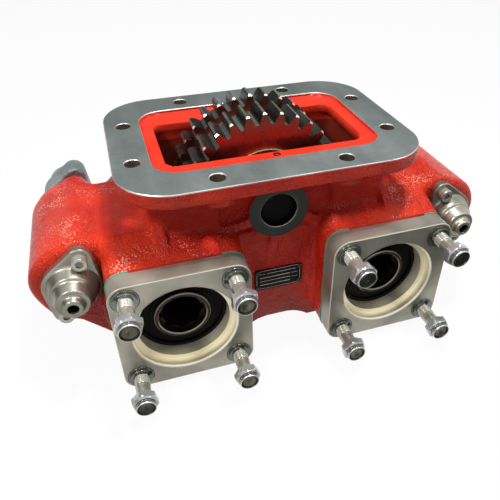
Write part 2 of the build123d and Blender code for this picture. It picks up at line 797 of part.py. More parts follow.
def make_output_gear(side, name):
    """Output gear with its clutch teeth, and the needle bearing in its bore."""
    gear_back = output_gear_front + output_gear_width
    with BuildPart() as gear:
        toothed_disc(level(side, output_gear_front), output_teeth, -profile_shift, output_root_radius,
                     output_tip_radius, mesh_phase(side), gear_back)
        chamfer_teeth(side * output_x, output_z, output_tip_radius, output_gear_front, gear_back)
        disc(level(side, gear_back - overlap), gear_hub_diameter / 2, gear_hub_back)
        disc(level(side, gear_hub_front + clutch_length), clutch_inner / 2, output_gear_front + overlap)
        with BuildSketch(level(side, gear_hub_front)):
            Circle(clutch_inner / 2)
            with PolarLocations(clutch_inner / 2, clutch_teeth):
                Rectangle(clutch_outer - clutch_inner, clutch_tooth_width)
        extrude(amount=-clutch_length)
        disc(level(side, gear_hub_front), needle_outer / 2 + seat, gear_hub_back, Mode.SUBTRACT)
    keep(gear, f"{name}_output_gear")
    needle_front = (gear_hub_front + gear_hub_back - needle_length) / 2
    needle = ring(level(side, needle_front), needle_outer / 2, journal_diameter / 2,
                  needle_front + needle_length)
    keep(needle, f"{name}_gear_bearing")


def make_shifter(side, name):
    """Clutch sleeve, fork, rod, piston, seal and return spring of one output."""
    with BuildPart() as sleeve:
        disc(level(side, sleeve_front), sleeve_diameter / 2, sleeve_back)
        chamfer(sleeve.edges().filter_by(GeomType.CIRCLE), sleeve_chamfer)
        with BuildSketch(level(side, sleeve_middle - sleeve_groove_width / 2)):
            Circle(sleeve_diameter / 2 + overlap)
            Circle(sleeve_groove_diameter / 2, mode=Mode.SUBTRACT)
        extrude(amount=-sleeve_groove_width, mode=Mode.SUBTRACT)
        with BuildSketch(level(side, sleeve_front)):
            Circle(clutch_inner / 2 + tooth_play)
            with PolarLocations(clutch_inner / 2, clutch_teeth):
                Rectangle(clutch_outer - clutch_inner + 2 * tooth_play, clutch_tooth_width + 2 * tooth_play)
        extrude(amount=-sleeve_length, mode=Mode.SUBTRACT)
    keep(sleeve, f"{name}_clutch_sleeve")

    with BuildPart() as fork:
        with BuildSketch(at_output(side, fork_front)):
            Circle(fork_outer_diameter / 2)
            with Locations((-fork_outer_diameter / 2 + fork_mouth, 0)):
                Rectangle(fork_outer_diameter, 2 * fork_outer_diameter, mode=Mode.SUBTRACT)
            with Locations((rod_distance / 2, 0)):
                Rectangle(rod_distance, fork_arm_width)
            Circle(sleeve_groove_diameter / 2 + side_play, mode=Mode.SUBTRACT)
        extrude(amount=-fork_thickness)
        disc(at_rod(side, fork_front), fork_hub_diameter / 2, fork_front + fork_hub_length)
        disc(at_rod(side, fork_front), rod_diameter / 2 + seat, fork_front + fork_hub_length, Mode.SUBTRACT)
    keep(fork, f"{name}_shift_fork")

    with BuildPart() as rod:
        disc(at_rod(side, piston_front), rod_nose_diameter / 2, piston_front + piston_length)
        disc(at_rod(side, piston_front + piston_length), rod_diameter / 2, rod_back)
        disc(at_rod(side, rod_back - rod_collar_length), rod_collar_diameter / 2, rod_back)
        chamfer(rod.edges().filter_by(GeomType.CIRCLE).group_by(Axis.Y)[0], rod_chamfer)
    keep(rod, f"{name}_piston_rod")

    seal_start = piston_front + (piston_length - piston_seal_width) / 2
    with BuildPart() as piston:
        disc(at_rod(side, piston_front), piston_diameter / 2, piston_front + piston_length)
        disc(at_rod(side, piston_front), rod_nose_diameter / 2 + seat, piston_front + piston_length,
             Mode.SUBTRACT)
        with BuildSketch(at_rod(side, seal_start)):
            Circle(piston_diameter / 2 + overlap)
            Circle(piston_diameter / 2 - piston_seal_depth, mode=Mode.SUBTRACT)
        extrude(amount=-piston_seal_width, mode=Mode.SUBTRACT)
    keep(piston, f"{name}_piston")
    piston_seal = ring(at_rod(side, seal_start + seat), piston_diameter / 2,
                       piston_diameter / 2 - piston_seal_depth + seat, seal_start + piston_seal_width - seat)
    keep(piston_seal, f"{name}_piston_seal")

    rise = (spring_back - spring_front - spring_wire) / spring_turns
    coil = (spring_diameter - spring_wire) / 2
    middle = at_rod(side, spring_front + spring_wire / 2).origin
    with BuildPart() as spring:
        with BuildLine():
            wire = Helix(rise, rise * spring_turns, coil, center=middle, direction=(0, 1, 0))
        with BuildSketch(Plane(origin=wire @ 0, z_dir=wire % 0, x_dir=(0, 1, 0))):
            Rectangle(spring_wire, spring_wire)
        sweep(is_frenet=True)
    keep(spring, f"{name}_return_spring")


def make_air_end(side, name):
    """Air cylinder cover with its screws at the front, and the cap at the back."""
    steps = ((cover_body_diameter, cover_body_length), (cover_step_diameter, cover_step_length),
             (cover_nose_diameter, cover_nose_length))
    with BuildPart() as cover:
        with BuildSketch(at_rod(side, lobe_front)):
            cover_outline(0)
        extrude(amount=cover_thickness)
        reach = cover_front
        for diameter, length in steps:
            cone(at_rod(side, reach - length), diameter / 2 - cover_draft * length, diameter / 2, reach)
            reach = reach - length
            rim = cover.edges().filter_by(GeomType.CIRCLE).group_by(Axis.Y)[0]
            chamfer(rim, cover_chamfer)
        disc(at_rod(side, piston_front - side_play), piston_diameter / 2 + running, lobe_front,
             Mode.SUBTRACT)
        disc(at_rod(side, cover_nose), port_diameter / 2, cover_nose + port_depth, Mode.SUBTRACT)
        disc(at_rod(side, cover_nose), air_passage / 2, piston_front, Mode.SUBTRACT)
        with BuildSketch(at_rod(side, lobe_front)):
            with GridLocations(0, cover_screw_spacing, 1, 2):
                Circle(cover_screw_diameter / 2 + side_play)
        extrude(amount=cover_thickness, mode=Mode.SUBTRACT)
    keep(cover, f"{name}_air_cover")

    with BuildPart() as screws:
        with BuildSketch(at_rod(side, cover_front)):
            with GridLocations(0, cover_screw_spacing, 1, 2):
                Circle(cover_screw_head / 2)
        extrude(amount=cover_screw_head_height)
        with BuildSketch(at_rod(side, cover_front)):
            with GridLocations(0, cover_screw_spacing, 1, 2):
                Circle(cover_screw_diameter / 2)
        extrude(amount=-(cover_thickness + cover_screw_depth))
        with BuildSketch(at_rod(side, cover_front - cover_screw_head_height)):
            with GridLocations(0, cover_screw_spacing, 1, 2):
                RegularPolygon(cover_screw_key / 2, 6, major_radius=False)
        extrude(amount=-cover_screw_key_depth, mode=Mode.SUBTRACT)
    keep(screws, f"{name}_cover_screws")

    with BuildPart() as cap:
        disc(at_rod(side, barrel_back), cap_diameter / 2, barrel_back + cap_length)
        disc(at_rod(side, barrel_back + cap_length), cap_crown_diameter / 2, cap_back)
        disc(at_rod(side, barrel_back - cap_spigot_length), cap_spigot_diameter / 2, barrel_back)
        disc(at_rod(side, barrel_back - cap_spigot_length), spring_diameter / 2 + spring_room,
             cap_back - cap_wall, Mode.SUBTRACT)
        chamfer(cap.edges().filter_by(GeomType.CIRCLE).group_by(Axis.Y)[-1], cap_chamfer)
    keep(cap, f"{name}_rear_cap")


def main():
    """Builds every piece and writes its file."""
    os.makedirs("parts", exist_ok=True)
    make_housing()
    make_nameplate()
    make_input_train()
    for side, name in ((-1, "left"), (1, "right")):
        make_output_flange(side, name)
        make_output_shaft(side, name)
        make_output_gear(side, name)
        make_shifter(side, name)
        make_air_end(side, name)


main()
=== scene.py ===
"""Looks of a two-output power take off unit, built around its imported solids.

Sizes are in millimetres in the frame of the solids: the origin is the middle of the machined
mounting face, +Z points out of that face and both outputs face -Y. Meshes are written in metres.
"""

import logging
import math
from dataclasses import dataclass
from enum import Enum

import bmesh
import bpy
import numpy as np
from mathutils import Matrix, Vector
from mathutils.geometry import delaunay_2d_cdt

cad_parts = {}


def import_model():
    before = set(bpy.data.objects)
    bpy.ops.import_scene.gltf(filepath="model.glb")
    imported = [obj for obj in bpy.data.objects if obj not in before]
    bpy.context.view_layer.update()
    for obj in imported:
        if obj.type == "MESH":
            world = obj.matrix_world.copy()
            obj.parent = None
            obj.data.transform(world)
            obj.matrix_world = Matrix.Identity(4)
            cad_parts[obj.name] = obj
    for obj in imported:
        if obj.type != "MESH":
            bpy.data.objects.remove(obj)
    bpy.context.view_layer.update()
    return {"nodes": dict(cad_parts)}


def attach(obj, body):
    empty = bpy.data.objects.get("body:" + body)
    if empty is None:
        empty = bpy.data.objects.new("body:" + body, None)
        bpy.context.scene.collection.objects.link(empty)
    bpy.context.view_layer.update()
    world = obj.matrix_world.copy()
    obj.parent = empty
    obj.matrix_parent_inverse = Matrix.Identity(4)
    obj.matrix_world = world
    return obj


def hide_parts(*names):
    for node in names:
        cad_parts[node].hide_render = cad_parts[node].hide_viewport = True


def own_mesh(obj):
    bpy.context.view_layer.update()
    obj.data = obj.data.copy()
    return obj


Array = np.ndarray
Socket = bpy.types.NodeSocket
Materials = dict[str, bpy.types.Material]
Pair = tuple[float, float]
Triple = tuple[float, float, float]

log = logging.getLogger("power_take_off")
METRES = 0.001
SIDES = (("left", -1), ("right", 1))
ROOT = "housing"

# Places of the shafts, the same as in the solids
OUTPUT_X, OUTPUT_Z = 86.0, -112.0
ROD_OFFSET_X, ROD_OFFSET_Z = 76.1, 30.7
INPUT_Z = -43.4143
ROD_DISTANCE = math.hypot(ROD_OFFSET_X, ROD_OFFSET_Z)
ROD_ANGLE = math.atan2(ROD_OFFSET_Z, ROD_OFFSET_X)
OUTPUT_FACE = -81.5
LOBE_FRONT = -53.0
PILOT_REACH = 41.0
EAR = 25.0
BOLT_HOLES = ((49.0, 73.0), (103.2, 34.0))


# Distance fields: each function takes and returns whole arrays, in millimetres


def rounded_box(u: Array, v: Array, half_u: float, half_v: float, radius: float) -> Array:
    """Distance to a rounded rectangle: that to the smaller rectangle of its corner centres, less the radius.

    Args:
        u, v: coordinates from the middle of the rectangle.
        half_u, half_v: half of its length and height.
        radius: corner radius.

    Returns:
        The signed distance, negative inside.
    """
    a = np.abs(u) - (half_u - radius)
    b = np.abs(v) - (half_v - radius)
    return np.hypot(np.maximum(a, 0), np.maximum(b, 0)) + np.minimum(np.maximum(a, b), 0) - radius


def two_circles(along: Array, across: Array, first: Array | float, second: Array | float,
                distance: float) -> Array:
    """Distance to the hull of two circles: to either circle beyond its tangent points, else to the tangent line.

    Args:
        along: coordinate from the first centre towards the second.
        across: coordinate across that line.
        first, second: the two radii.
        distance: from centre to centre.

    Returns:
        The signed distance, negative inside.
    """
    lean = (first - second) / distance
    rise = np.sqrt(1 - lean * lean)
    across = np.abs(across)
    place = -lean * across + rise * along
    to_line = rise * across + lean * along - first
    far = np.hypot(across, along - distance) - second
    return np.where(place < 0, np.hypot(across, along) - first, np.where(place > rise * distance, far, to_line))


def prism(outline: Array, w: Array, low: float, high: float, edge: float) -> Array:
    """Distance to an outline carried from low to high: the larger of both distances, with a round edge.

    Args:
        outline: signed distance to the outline.
        w: coordinate along the prism.
        low, high: its ends.
        edge: radius of the round between outline and ends.

    Returns:
        The signed distance, negative inside.
    """
    a = outline + edge
    b = np.maximum(low - w, w - high) + edge
    return np.hypot(np.maximum(a, 0), np.maximum(b, 0)) + np.minimum(np.maximum(a, b), 0) - edge


def blend(a: Array, b: Array, width: float) -> Array:
    """Union with a cast fillet: the smaller distance, less a quarter of the squared overlap of the two."""
    overlap = np.maximum(width - np.abs(a - b), 0) / width
    return np.minimum(a, b) - overlap * overlap * width / 4


def carve(a: Array, b: Array, width: float = 0.0) -> Array:
    """Takes b out of a, with a fillet of that width where it is above zero."""
    return -blend(-a, b, width) if width > 0 else np.maximum(a, -b)


def along_rod(side: Array, rise: Array) -> tuple[Array, Array]:
    """Turns places round an output's axis so that its rod lies at ROD_DISTANCE along the first coordinate."""
    cos, sin = math.cos(ROD_ANGLE), math.sin(ROD_ANGLE)
    return side * cos + rise * sin, rise * cos - side * sin


class Field:
    """A solid given by its signed distance, and its outer surface as a mesh."""

    low = (0.0, 0.0, 0.0)
    high = (1.0, 1.0, 1.0)
    step = 1.0

    def distance(self, x: Array, y: Array, z: Array) -> Array:
        """Signed distance at each point, negative inside."""
        raise NotImplementedError

    def slope(self, points: Array, reach: float = 0.15) -> Array:
        """Unit normals: the distance a little further along each axis, less that a little before.

        Args:
            points: places, one row each.
            reach: how far to either side.

        Returns:
            One unit vector for each row.
        """
        columns = []
        for axis in range(3):
            ahead, behind = points.copy(), points.copy()
            ahead[:, axis] += reach
            behind[:, axis] -= reach
            columns.append(self.distance(*ahead.T) - self.distance(*behind.T))
        normals = np.stack(columns, 1)
        return normals / np.maximum(np.linalg.norm(normals, axis=1, keepdims=True), 1e-9)

    def surface(self) -> tuple[Array, Array]:
        """Surface as quads, with one point in each cell that the surface crosses.

        The point is where the tangent planes at the cell's crossed edges meet best, in the
        sense of least squares, so creases stay sharp and fillets stay round.

        Returns:
            The points, and four point numbers for each face.
        """
        axes = [np.arange(a, b + self.step, self.step) for a, b in zip(self.low, self.high)]
        shape = np.array([len(a) for a in axes])
        values = self.distance(*np.meshgrid(*axes, indexing="ij"))
        inside = values < 0
        origin = np.array([a[0] for a in axes])
        hits, normals, cells, flipped = [], [], [], []
        for axis in range(3):
            lower = [slice(None)] * 3
            upper = [slice(None)] * 3
            lower[axis], upper[axis] = slice(0, -1), slice(1, None)
            found = np.argwhere(inside[tuple(lower)] != inside[tuple(upper)])
            start = origin + found * self.step
            way = np.eye(3)[axis] * self.step
            a = values[tuple(found.T)]
            b = values[tuple((found + np.eye(3, dtype=int)[axis]).T)]
            low_share, high_share = np.zeros(len(found)), np.ones(len(found))
            for _ in range(4):
                share = low_share + (high_share - low_share) * a / (a - b)
                share = np.clip(share, low_share + 1e-4, high_share - 1e-4)
                middle = self.distance(*(start + share[:, None] * way).T)
                same = (middle < 0) == (a < 0)
                low_share, a = np.where(same, share, low_share), np.where(same, middle, a)
                high_share, b = np.where(same, high_share, share), np.where(same, b, middle)
            place = start + share[:, None] * way
            hits.append(place)
            normals.append(self.slope(place))
            one, two = np.eye(3, dtype=int)[(axis + 1) % 3], np.eye(3, dtype=int)[(axis + 2) % 3]
            cells.append(np.stack([found, found - one, found - one - two, found - two], 1))
            flipped.append(~inside[tuple(found.T)])
        hits, normals = np.concatenate(hits), np.concatenate(normals)
        cells, flipped = np.concatenate(cells), np.concatenate(flipped)
        numbers = (cells[..., 0] * shape[1] + cells[..., 1]) * shape[2] + cells[..., 2]
        names, faces = np.unique(numbers, return_inverse=True)
        faces = faces.reshape(numbers.shape)
        count = np.bincount(faces.ravel(), minlength=len(names))

        def gather(value: Array) -> Array:
            """Sum of an edge's value over the cells around it."""
            return np.bincount(faces.ravel(), weights=np.repeat(value, 4), minlength=len(names))

        mass = np.stack([gather(hits[:, k]) for k in range(3)], 1) / count[:, None]
        flat = np.sum(normals * hits, 1)
        matrix = np.empty((len(names), 3, 3))
        right = np.empty((len(names), 3))
        for i in range(3):
            right[:, i] = gather(normals[:, i] * flat)
            for j in range(3):
                matrix[:, i, j] = gather(normals[:, i] * normals[:, j])
        right -= np.einsum("nij,nj->ni", matrix, mass)
        matrix += np.eye(3) * 0.05
        points = mass + np.linalg.solve(matrix, right[..., None])[..., 0]
        corner = np.stack(np.unravel_index(names, shape), 1) * self.step + origin
        points = np.clip(points, corner, corner + self.step)
        faces[flipped] = faces[flipped][:, ::-1]
        return points, faces


# Grids


def circle(radius: float, count: int) -> Array:
    """Points of a circle: the radius times cosine and sine of even angles."""
    turn = full_turn(count)
    return np.stack([radius * np.cos(turn), radius * np.sin(turn)], 1)


def rounded_outline(half_u: float, half_v: float, radius: float, count: int = 12) -> Array:
    """Rounded rectangle: a quarter circle about each corner centre, in order round the middle.

    Args:
        half_u, half_v: half of its length and height.
        radius: corner radius.
        count: points on each corner.

    Returns:
        The points, anticlockwise.
    """
    turn = np.linspace(0, np.pi / 2, count)
    corners = []
    for k, (su, sv) in enumerate(((1, 1), (-1, 1), (-1, -1), (1, -1))):
        middle = np.array([su * (half_u - radius), sv * (half_v - radius)])
        angle = turn + k * np.pi / 2
        corners.append(middle + radius * np.stack([np.cos(angle), np.sin(angle)], 1))
    return np.concatenate(corners)


def soften(profile: list[Pair], radius: float, steps: int = 3) -> Array:
    """Rounds the corners of a profile: each becomes the curve (1-t)^2 before + 2t(1-t) corner + t^2 after.

    Args:
        profile: corners, the first and last of which stay sharp.
        radius: how far from its corner each curve starts, at most 45% of the side.
        steps: points on each curve, less one.

    Returns:
        The points of the rounded profile.
    """
    points = np.array(profile, float)
    made = [points[:1]]
    t = np.linspace(0, 1, steps + 1)[:, None]
    for before, corner, after in zip(points, points[1:], points[2:]):
        to_before, to_after = before - corner, after - corner
        long_before, long_after = np.linalg.norm(to_before), np.linalg.norm(to_after)
        start = corner + to_before / long_before * min(radius, 0.45 * long_before)
        end = corner + to_after / long_after * min(radius, 0.45 * long_after)
        made.append((1 - t) ** 2 * start + 2 * t * (1 - t) * corner + t**2 * end)
    made.append(points[-1:])
    return np.concatenate(made)


def hexagon(half: float, turn: Array) -> Array:
    """Radius of a hexagon at each angle: half its width over the cosine of the angle from the nearest flat."""
    return half / np.cos((turn + np.pi / 6) % (np.pi / 3) - np.pi / 6)


def level(outline: Array, height: float) -> Array:
    """Puts flat points at a height."""
    return np.column_stack([outline, np.full(len(outline), height)])


def full_turn(count: int) -> Array:
    """Even angles of a full turn."""
    return np.linspace(0, 2 * np.pi, count, endpoint=False)


def linked(name: str, data: bpy.types.ID) -> bpy.types.Object:
    """Makes an object from its data and puts it into the scene."""
    thing = bpy.data.objects.new(name, data)
    bpy.context.scene.collection.objects.link(thing)
    return thing


def grid_faces(rows: int, columns: int, close_rows: bool, close_columns: bool) -> Array:
    """Four point numbers for each square of a grid.

    Args:
        rows, columns: size of the grid.
        close_rows: the last row joins the first.
        close_columns: the last column joins the first.

    Returns:
        One row of four for each square.
    """
    numbers = np.arange(rows * columns).reshape(rows, columns)
    if close_rows:
        numbers = np.concatenate([numbers, numbers[:1]])
    if close_columns:
        numbers = np.concatenate([numbers, numbers[:, :1]], 1)
    corners = (numbers[:-1, :-1], numbers[:-1, 1:], numbers[1:, 1:], numbers[1:, :-1])
    return np.stack([c.ravel() for c in corners], 1)


class Piece:
    """One visible piece, gathered from grids and flat faces and then written as a mesh."""

    def __init__(self, name: str) -> None:
        """Starts an empty piece of that name."""
        self.name = name
        self.points: list[Array] = []
        self.faces: list[tuple[Array, int]] = []
        self.size = 0

    def add(self, points: Array, faces: Array, finish: int = 0) -> "Piece":
        """Adds faces of three or four corners that name the given points."""
        self.points.append(np.asarray(points, float).reshape(-1, 3))
        self.faces.append((np.asarray(faces) + self.size, finish))
        self.size += len(self.points[-1])
        return self

    def grid(self, points: Array, finish: int = 0, close_rows: bool = False,
             close_columns: bool = True) -> "Piece":
        """Adds a grid of points as squares."""
        rows, columns = points.shape[:2]
        return self.add(points, grid_faces(rows, columns, close_rows, close_columns), finish)

    def spin(self, radius: Array, depth: Array, turn: Array, centre: Pair, finish: int = 0,
             **closing: bool) -> "Piece":
        """Adds a grid about an axis along Y: X and Z go round the centre by the radius times cosine and sine.

        Args:
            radius: of each row and angle.
            depth: Y of each row, or of each row and angle.
            turn: the angles.
            centre: X and Z of the axis.
            finish: number of the finish.
            closing: which ways the grid closes, as for grid.

        Returns:
            This piece.
        """
        x, z = centre[0] + radius * np.cos(turn), centre[1] + radius * np.sin(turn)
        return self.grid(np.stack([x, np.broadcast_to(depth, x.shape), z], 2), finish, **closing)

    def turned(self, profile: Array, centre: Pair, count: int, finish: int = 0, **closing: bool) -> "Piece":
        """Adds a profile of radius and Y that is turned about an axis along Y."""
        radius = np.repeat(profile[:, :1], count, 1)
        return self.spin(radius, profile[:, 1:], full_turn(count), centre, finish, **closing)

    def flat(self, outlines: list[Array], height: float) -> "Piece":
        """Adds a flat face at a height, inside the first outline and outside the others."""
        corners = np.concatenate(outlines)
        edges, start = [], 0
        for outline in outlines:
            numbers = np.arange(len(outline)) + start
            edges += np.stack([numbers, np.roll(numbers, -1)], 1).tolist()
            start += len(outline)
        made = delaunay_2d_cdt([Vector(c) for c in corners], edges, [], 1, 1e-6)
        points = np.array([tuple(v) for v in made[0]])
        faces = np.array([f for f in made[2] if len(f) == 3])
        middle = points[faces].mean(1)
        keep = within(middle, outlines[0])
        for hole in outlines[1:]:
            keep &= ~within(middle, hole)
        return self.add(level(points, height), faces[keep])

    def build(self, finishes: Materials, names: tuple[str, ...], slot: str, nodes: tuple[str, ...] = (),
              sharp: float = 32.0, weld: float = 0.002) -> None:
        """Writes the mesh, welds its grids, turns its faces outwards and hangs it on the housing.

        Args:
            finishes: materials by name.
            names: finishes of this piece, in the order of their numbers.
            slot: material slot of the record; not used.
            nodes: solids that this piece stands for.
            sharp: edges that bend by more degrees than this stay sharp.
            weld: distance in millimetres within which points become one.
        """
        mesh = bpy.data.meshes.new(self.name)
        points = np.concatenate(self.points) * METRES
        loops = np.concatenate([f.ravel() for f, _ in self.faces]).astype(np.int32)
        sizes = np.concatenate([np.full(len(f), f.shape[1]) for f, _ in self.faces])
        kinds = np.concatenate([np.full(len(f), k) for f, k in self.faces]).astype(np.int32)
        mesh.vertices.add(len(points))
        mesh.vertices.foreach_set("co", points.astype(np.float32).ravel())
        mesh.loops.add(len(loops))
        mesh.loops.foreach_set("vertex_index", loops)
        mesh.polygons.add(len(sizes))
        mesh.polygons.foreach_set("loop_start", np.concatenate([[0], np.cumsum(sizes)[:-1]]).astype(np.int32))
        mesh.polygons.foreach_set("material_index", kinds)
        mesh.update(calc_edges=True)
        work = bmesh.new()
        work.from_mesh(mesh)
        bmesh.ops.remove_doubles(work, verts=work.verts, dist=weld * METRES)
        bmesh.ops.dissolve_degenerate(work, edges=work.edges, dist=weld * METRES / 4)
        bmesh.ops.recalc_face_normals(work, faces=work.faces)
        work.to_mesh(mesh)
        work.free()
        mesh.shade_smooth()
        mesh.set_sharp_from_angle(angle=math.radians(sharp))
        for name in names:
            mesh.materials.append(finishes[name])
        thing = linked(self.name, mesh)
        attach(thing, ROOT)
        if nodes:
            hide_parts(*nodes)
        log.info("%s: %d faces", self.name, len(mesh.polygons))


def within(points: Array, outline: Array) -> Array:
    """Whether each flat point lies in a closed outline: a ray from it crosses an odd number of sides."""
    x, y = points[:, :1], points[:, 1:]
    ax, ay = outline[:, 0], outline[:, 1]
    bx, by = np.roll(ax, -1), np.roll(ay, -1)
    rise = np.where(by == ay, 1e-12, by - ay)
    crosses = ((ay > y) != (by > y)) & (x < (bx - ax) * (y - ay) / rise + ax)
    return crosses.sum(1) % 2 == 1


# Finishes


class Marks(Enum):
    """What the surface of a metal finish carries."""

    CAST = "cast"
    MILLED = "milled"
    TURNED = "turned"


def node_group(name: str, inputs: dict[str, float], outputs: tuple[str, ...]) -> bpy.types.NodeTree:
    """Empty group of shader nodes.

    Args:
        name: of the group.
        inputs: default of each single input that follows the vector.
        outputs: names of its outputs, all single values.

    Returns:
        The group, with its input and output nodes.
    """
    group = bpy.data.node_groups.new(name, "ShaderNodeTree")
    face = group.interface
    face.new_socket(name="Vector", in_out="INPUT", socket_type="NodeSocketVector")
    for label, value in inputs.items():
        face.new_socket(name=label, in_out="INPUT", socket_type="NodeSocketFloat").default_value = value
    for label in outputs:
        face.new_socket(name=label, in_out="OUTPUT", socket_type="NodeSocketFloat")
    group.nodes.new("NodeGroupInput").name = "in"
    group.nodes.new("NodeGroupOutput").name = "out"
    return group


class Wiring:
    """Short ways to add and join the nodes of one tree."""

    def __init__(self, tree: bpy.types.NodeTree) -> None:
        """Works on that tree."""
        self.tree = tree

    def put(self, value: object, target: Socket) -> None:
        """Joins a socket to an input, or writes a number or colour into it."""
        if isinstance(value, Socket):
            self.tree.links.new(value, target)
        else:
            target.default_value = value

    def node(self, kind: str, **values: object) -> bpy.types.Node:
        """Adds a node and sets its properties, and its inputs where a value names one."""
        made = self.tree.nodes.new(kind)
        for key, value in values.items():
            if hasattr(made, key):
                setattr(made, key, value)
            else:
                self.put(value, made.inputs[key.replace("_", " ")])
        return made

    def math(self, kind: str, a: object, b: object = 0.0) -> Socket:
        """Adds a math node whose inputs are sockets or numbers, and returns its output."""
        made = self.node("ShaderNodeMath", operation=kind)
        self.put(a, made.inputs[0])
        self.put(b, made.inputs[1])
        return made.outputs[0]

    def times(self, a: object, b: object) -> Socket:
        """Product of two sockets or numbers."""
        return self.math("MULTIPLY", a, b)

    def plus(self, a: object, b: object) -> Socket:
        """Sum of two sockets or numbers."""
        return self.math("ADD", a, b)

    def length(self, a: Socket, b: Socket) -> Socket:
        """Square root of the sum of both squares."""
        return self.math("SQRT", self.plus(self.times(a, a), self.times(b, b)))

    def vector(self, kind: str, a: Socket, b: object = (0, 0, 0)) -> bpy.types.NodeOutputs:
        """Adds a vector math node and returns its outputs."""
        made = self.node("ShaderNodeVectorMath", operation=kind)
        self.put(a, made.inputs[0])
        self.put(b, made.inputs[1])
        return made.outputs

    def noise(self, vector: Socket, scale: object, detail: float = 2.0) -> Socket:
        """Adds a noise texture and returns its value."""
        return self.node("ShaderNodeTexNoise", Detail=detail, Vector=vector, Scale=scale).outputs["Fac"]

    def parts(self, kind: str) -> bpy.types.NodeOutputs:
        """X, Y and Z of the coordinates of that kind."""
        place = self.node("ShaderNodeTexCoord").outputs[kind]
        return self.node("ShaderNodeSeparateXYZ", Vector=place).outputs

    def mix(self, share: Socket, first: object, second: object) -> Socket:
        """Mixes two colours, each a socket or three numbers; the share is that of the second."""
        made = self.node("ShaderNodeMix", data_type="RGBA")
        self.put(share, made.inputs[0])
        for place, value in ((6, first), (7, second)):
            self.put(value if isinstance(value, Socket) else (*value, 1), made.inputs[place])
        return made.outputs[2]

    def show(self, share: Socket, first: bpy.types.Node, second: bpy.types.Node, output: str) -> None:
        """Mixes two shaders, with a share of the second, and joins them to the output node of that name."""
        made = self.node("ShaderNodeMixShader", Fac=share)
        self.put(first.outputs[0], made.inputs[1])
        self.put(second.outputs[0], made.inputs[2])
        self.put(made.outputs[0], self.tree.nodes[output].inputs["Surface"])

    def seen(self) -> Socket:
        """One to the camera, to mirrors and through glass, else nought."""
        ray = self.node("ShaderNodeLightPath").outputs
        seen = self.math("MAXIMUM", ray["Is Camera Ray"], ray["Is Glossy Ray"])
        return self.math("MAXIMUM", seen, ray["Is Transmission Ray"])


def new_material(name: str) -> tuple[bpy.types.Material, Wiring]:
    """Makes a material with nodes, and the wiring of its tree."""
    made = bpy.data.materials.new(name)
    made.use_nodes = True
    return made, Wiring(made.node_tree)


class Effects:
    """The shader groups that several finishes share, each built once."""

    def __init__(self) -> None:
        """Builds the three groups."""
        self.grain = self.build_grain()
        self.marks = self.build_marks()
        self.smudges = self.build_smudges()

    def build_grain(self) -> bpy.types.NodeTree:
        """Sand-cast grain: fine bumps on low waves, slow changes of tone, and a mask of specks in crowds, where glints
        are painted as highlights.
        """
        group = node_group("cast_grain", {"Size": 0.002, "Waves": 0.5}, ("Height", "Tone", "Spark"))
        wires = Wiring(group)
        vector, size, waves = list(group.nodes["in"].outputs)[:3]
        out = group.nodes["out"].inputs
        fine = wires.math("DIVIDE", 1.0, size)
        small = wires.noise(vector, fine, 1.5)
        cells = wires.node("ShaderNodeTexVoronoi", feature="SMOOTH_F1", Vector=vector, Scale=wires.times(fine, 0.8))
        low = wires.noise(vector, wires.times(fine, 0.13), 1.0)
        bumps = wires.plus(wires.times(small, 0.7), wires.times(cells.outputs[0], 0.5))
        wires.put(wires.plus(bumps, wires.times(low, wires.times(waves, 4.0))), out["Height"])
        wires.put(wires.noise(vector, 22.0, 3.0), out["Tone"])
        # Mask of the painted glints: specks in crowds
        specks = wires.node("ShaderNodeTexVoronoi", Vector=vector, Scale=wires.times(fine, 0.62))
        crowd = wires.noise(vector, 34.0, 2.0)
        reach = wires.times(wires.math("MAXIMUM", wires.math("SUBTRACT", crowd, 0.45), 0.0), 2.0)
        wires.put(wires.math("LESS_THAN", specks.outputs["Distance"], reach), out["Spark"])
        return group

    def build_marks(self) -> bpy.types.NodeTree:
        """Tool marks: a noise drawn out along the way of the tool, straight or round the Y axis."""
        group = node_group("tool_marks", {"Size": 0.0006, "Turned": 0.0}, ("Height", "Streak"))
        wires = Wiring(group)
        vector, size, turned = list(group.nodes["in"].outputs)[:3]
        out = group.nodes["out"].inputs
        x, y, z = wires.node("ShaderNodeSeparateXYZ", Vector=vector).outputs
        straight = wires.times(x, wires.math("SUBTRACT", 1.0, turned))
        mixed = wires.plus(wires.times(wires.length(x, z), turned), straight)
        fine = wires.math("DIVIDE", 1.0, size)
        drawn = wires.node("ShaderNodeCombineXYZ", X=wires.times(mixed, fine),
                           Y=wires.times(y, wires.times(fine, 0.06)),
                           Z=wires.times(z, wires.times(fine, 0.02))).outputs[0]
        wires.put(wires.noise(drawn, 1.0, 3.0), out["Height"])
        wires.put(wires.noise(drawn, 0.12, 2.0), out["Streak"])
        return group

    def build_smudges(self) -> bpy.types.NodeTree:
        """Handling marks: soft patches of a few centimetres with fine specks in them."""
        group = node_group("smudges", {"Size": 0.02}, ("Mask",))
        wires = Wiring(group)
        vector, size = list(group.nodes["in"].outputs)[:2]
        coarse = wires.math("DIVIDE", 1.0, size)
        patches = wires.noise(vector, coarse, 4.0)
        specks = wires.noise(vector, wires.times(coarse, 14.0), 2.0)
        wires.put(wires.plus(wires.times(patches, 0.75), wires.times(specks, 0.25)), group.nodes["out"].inputs["Mask"])
        return group


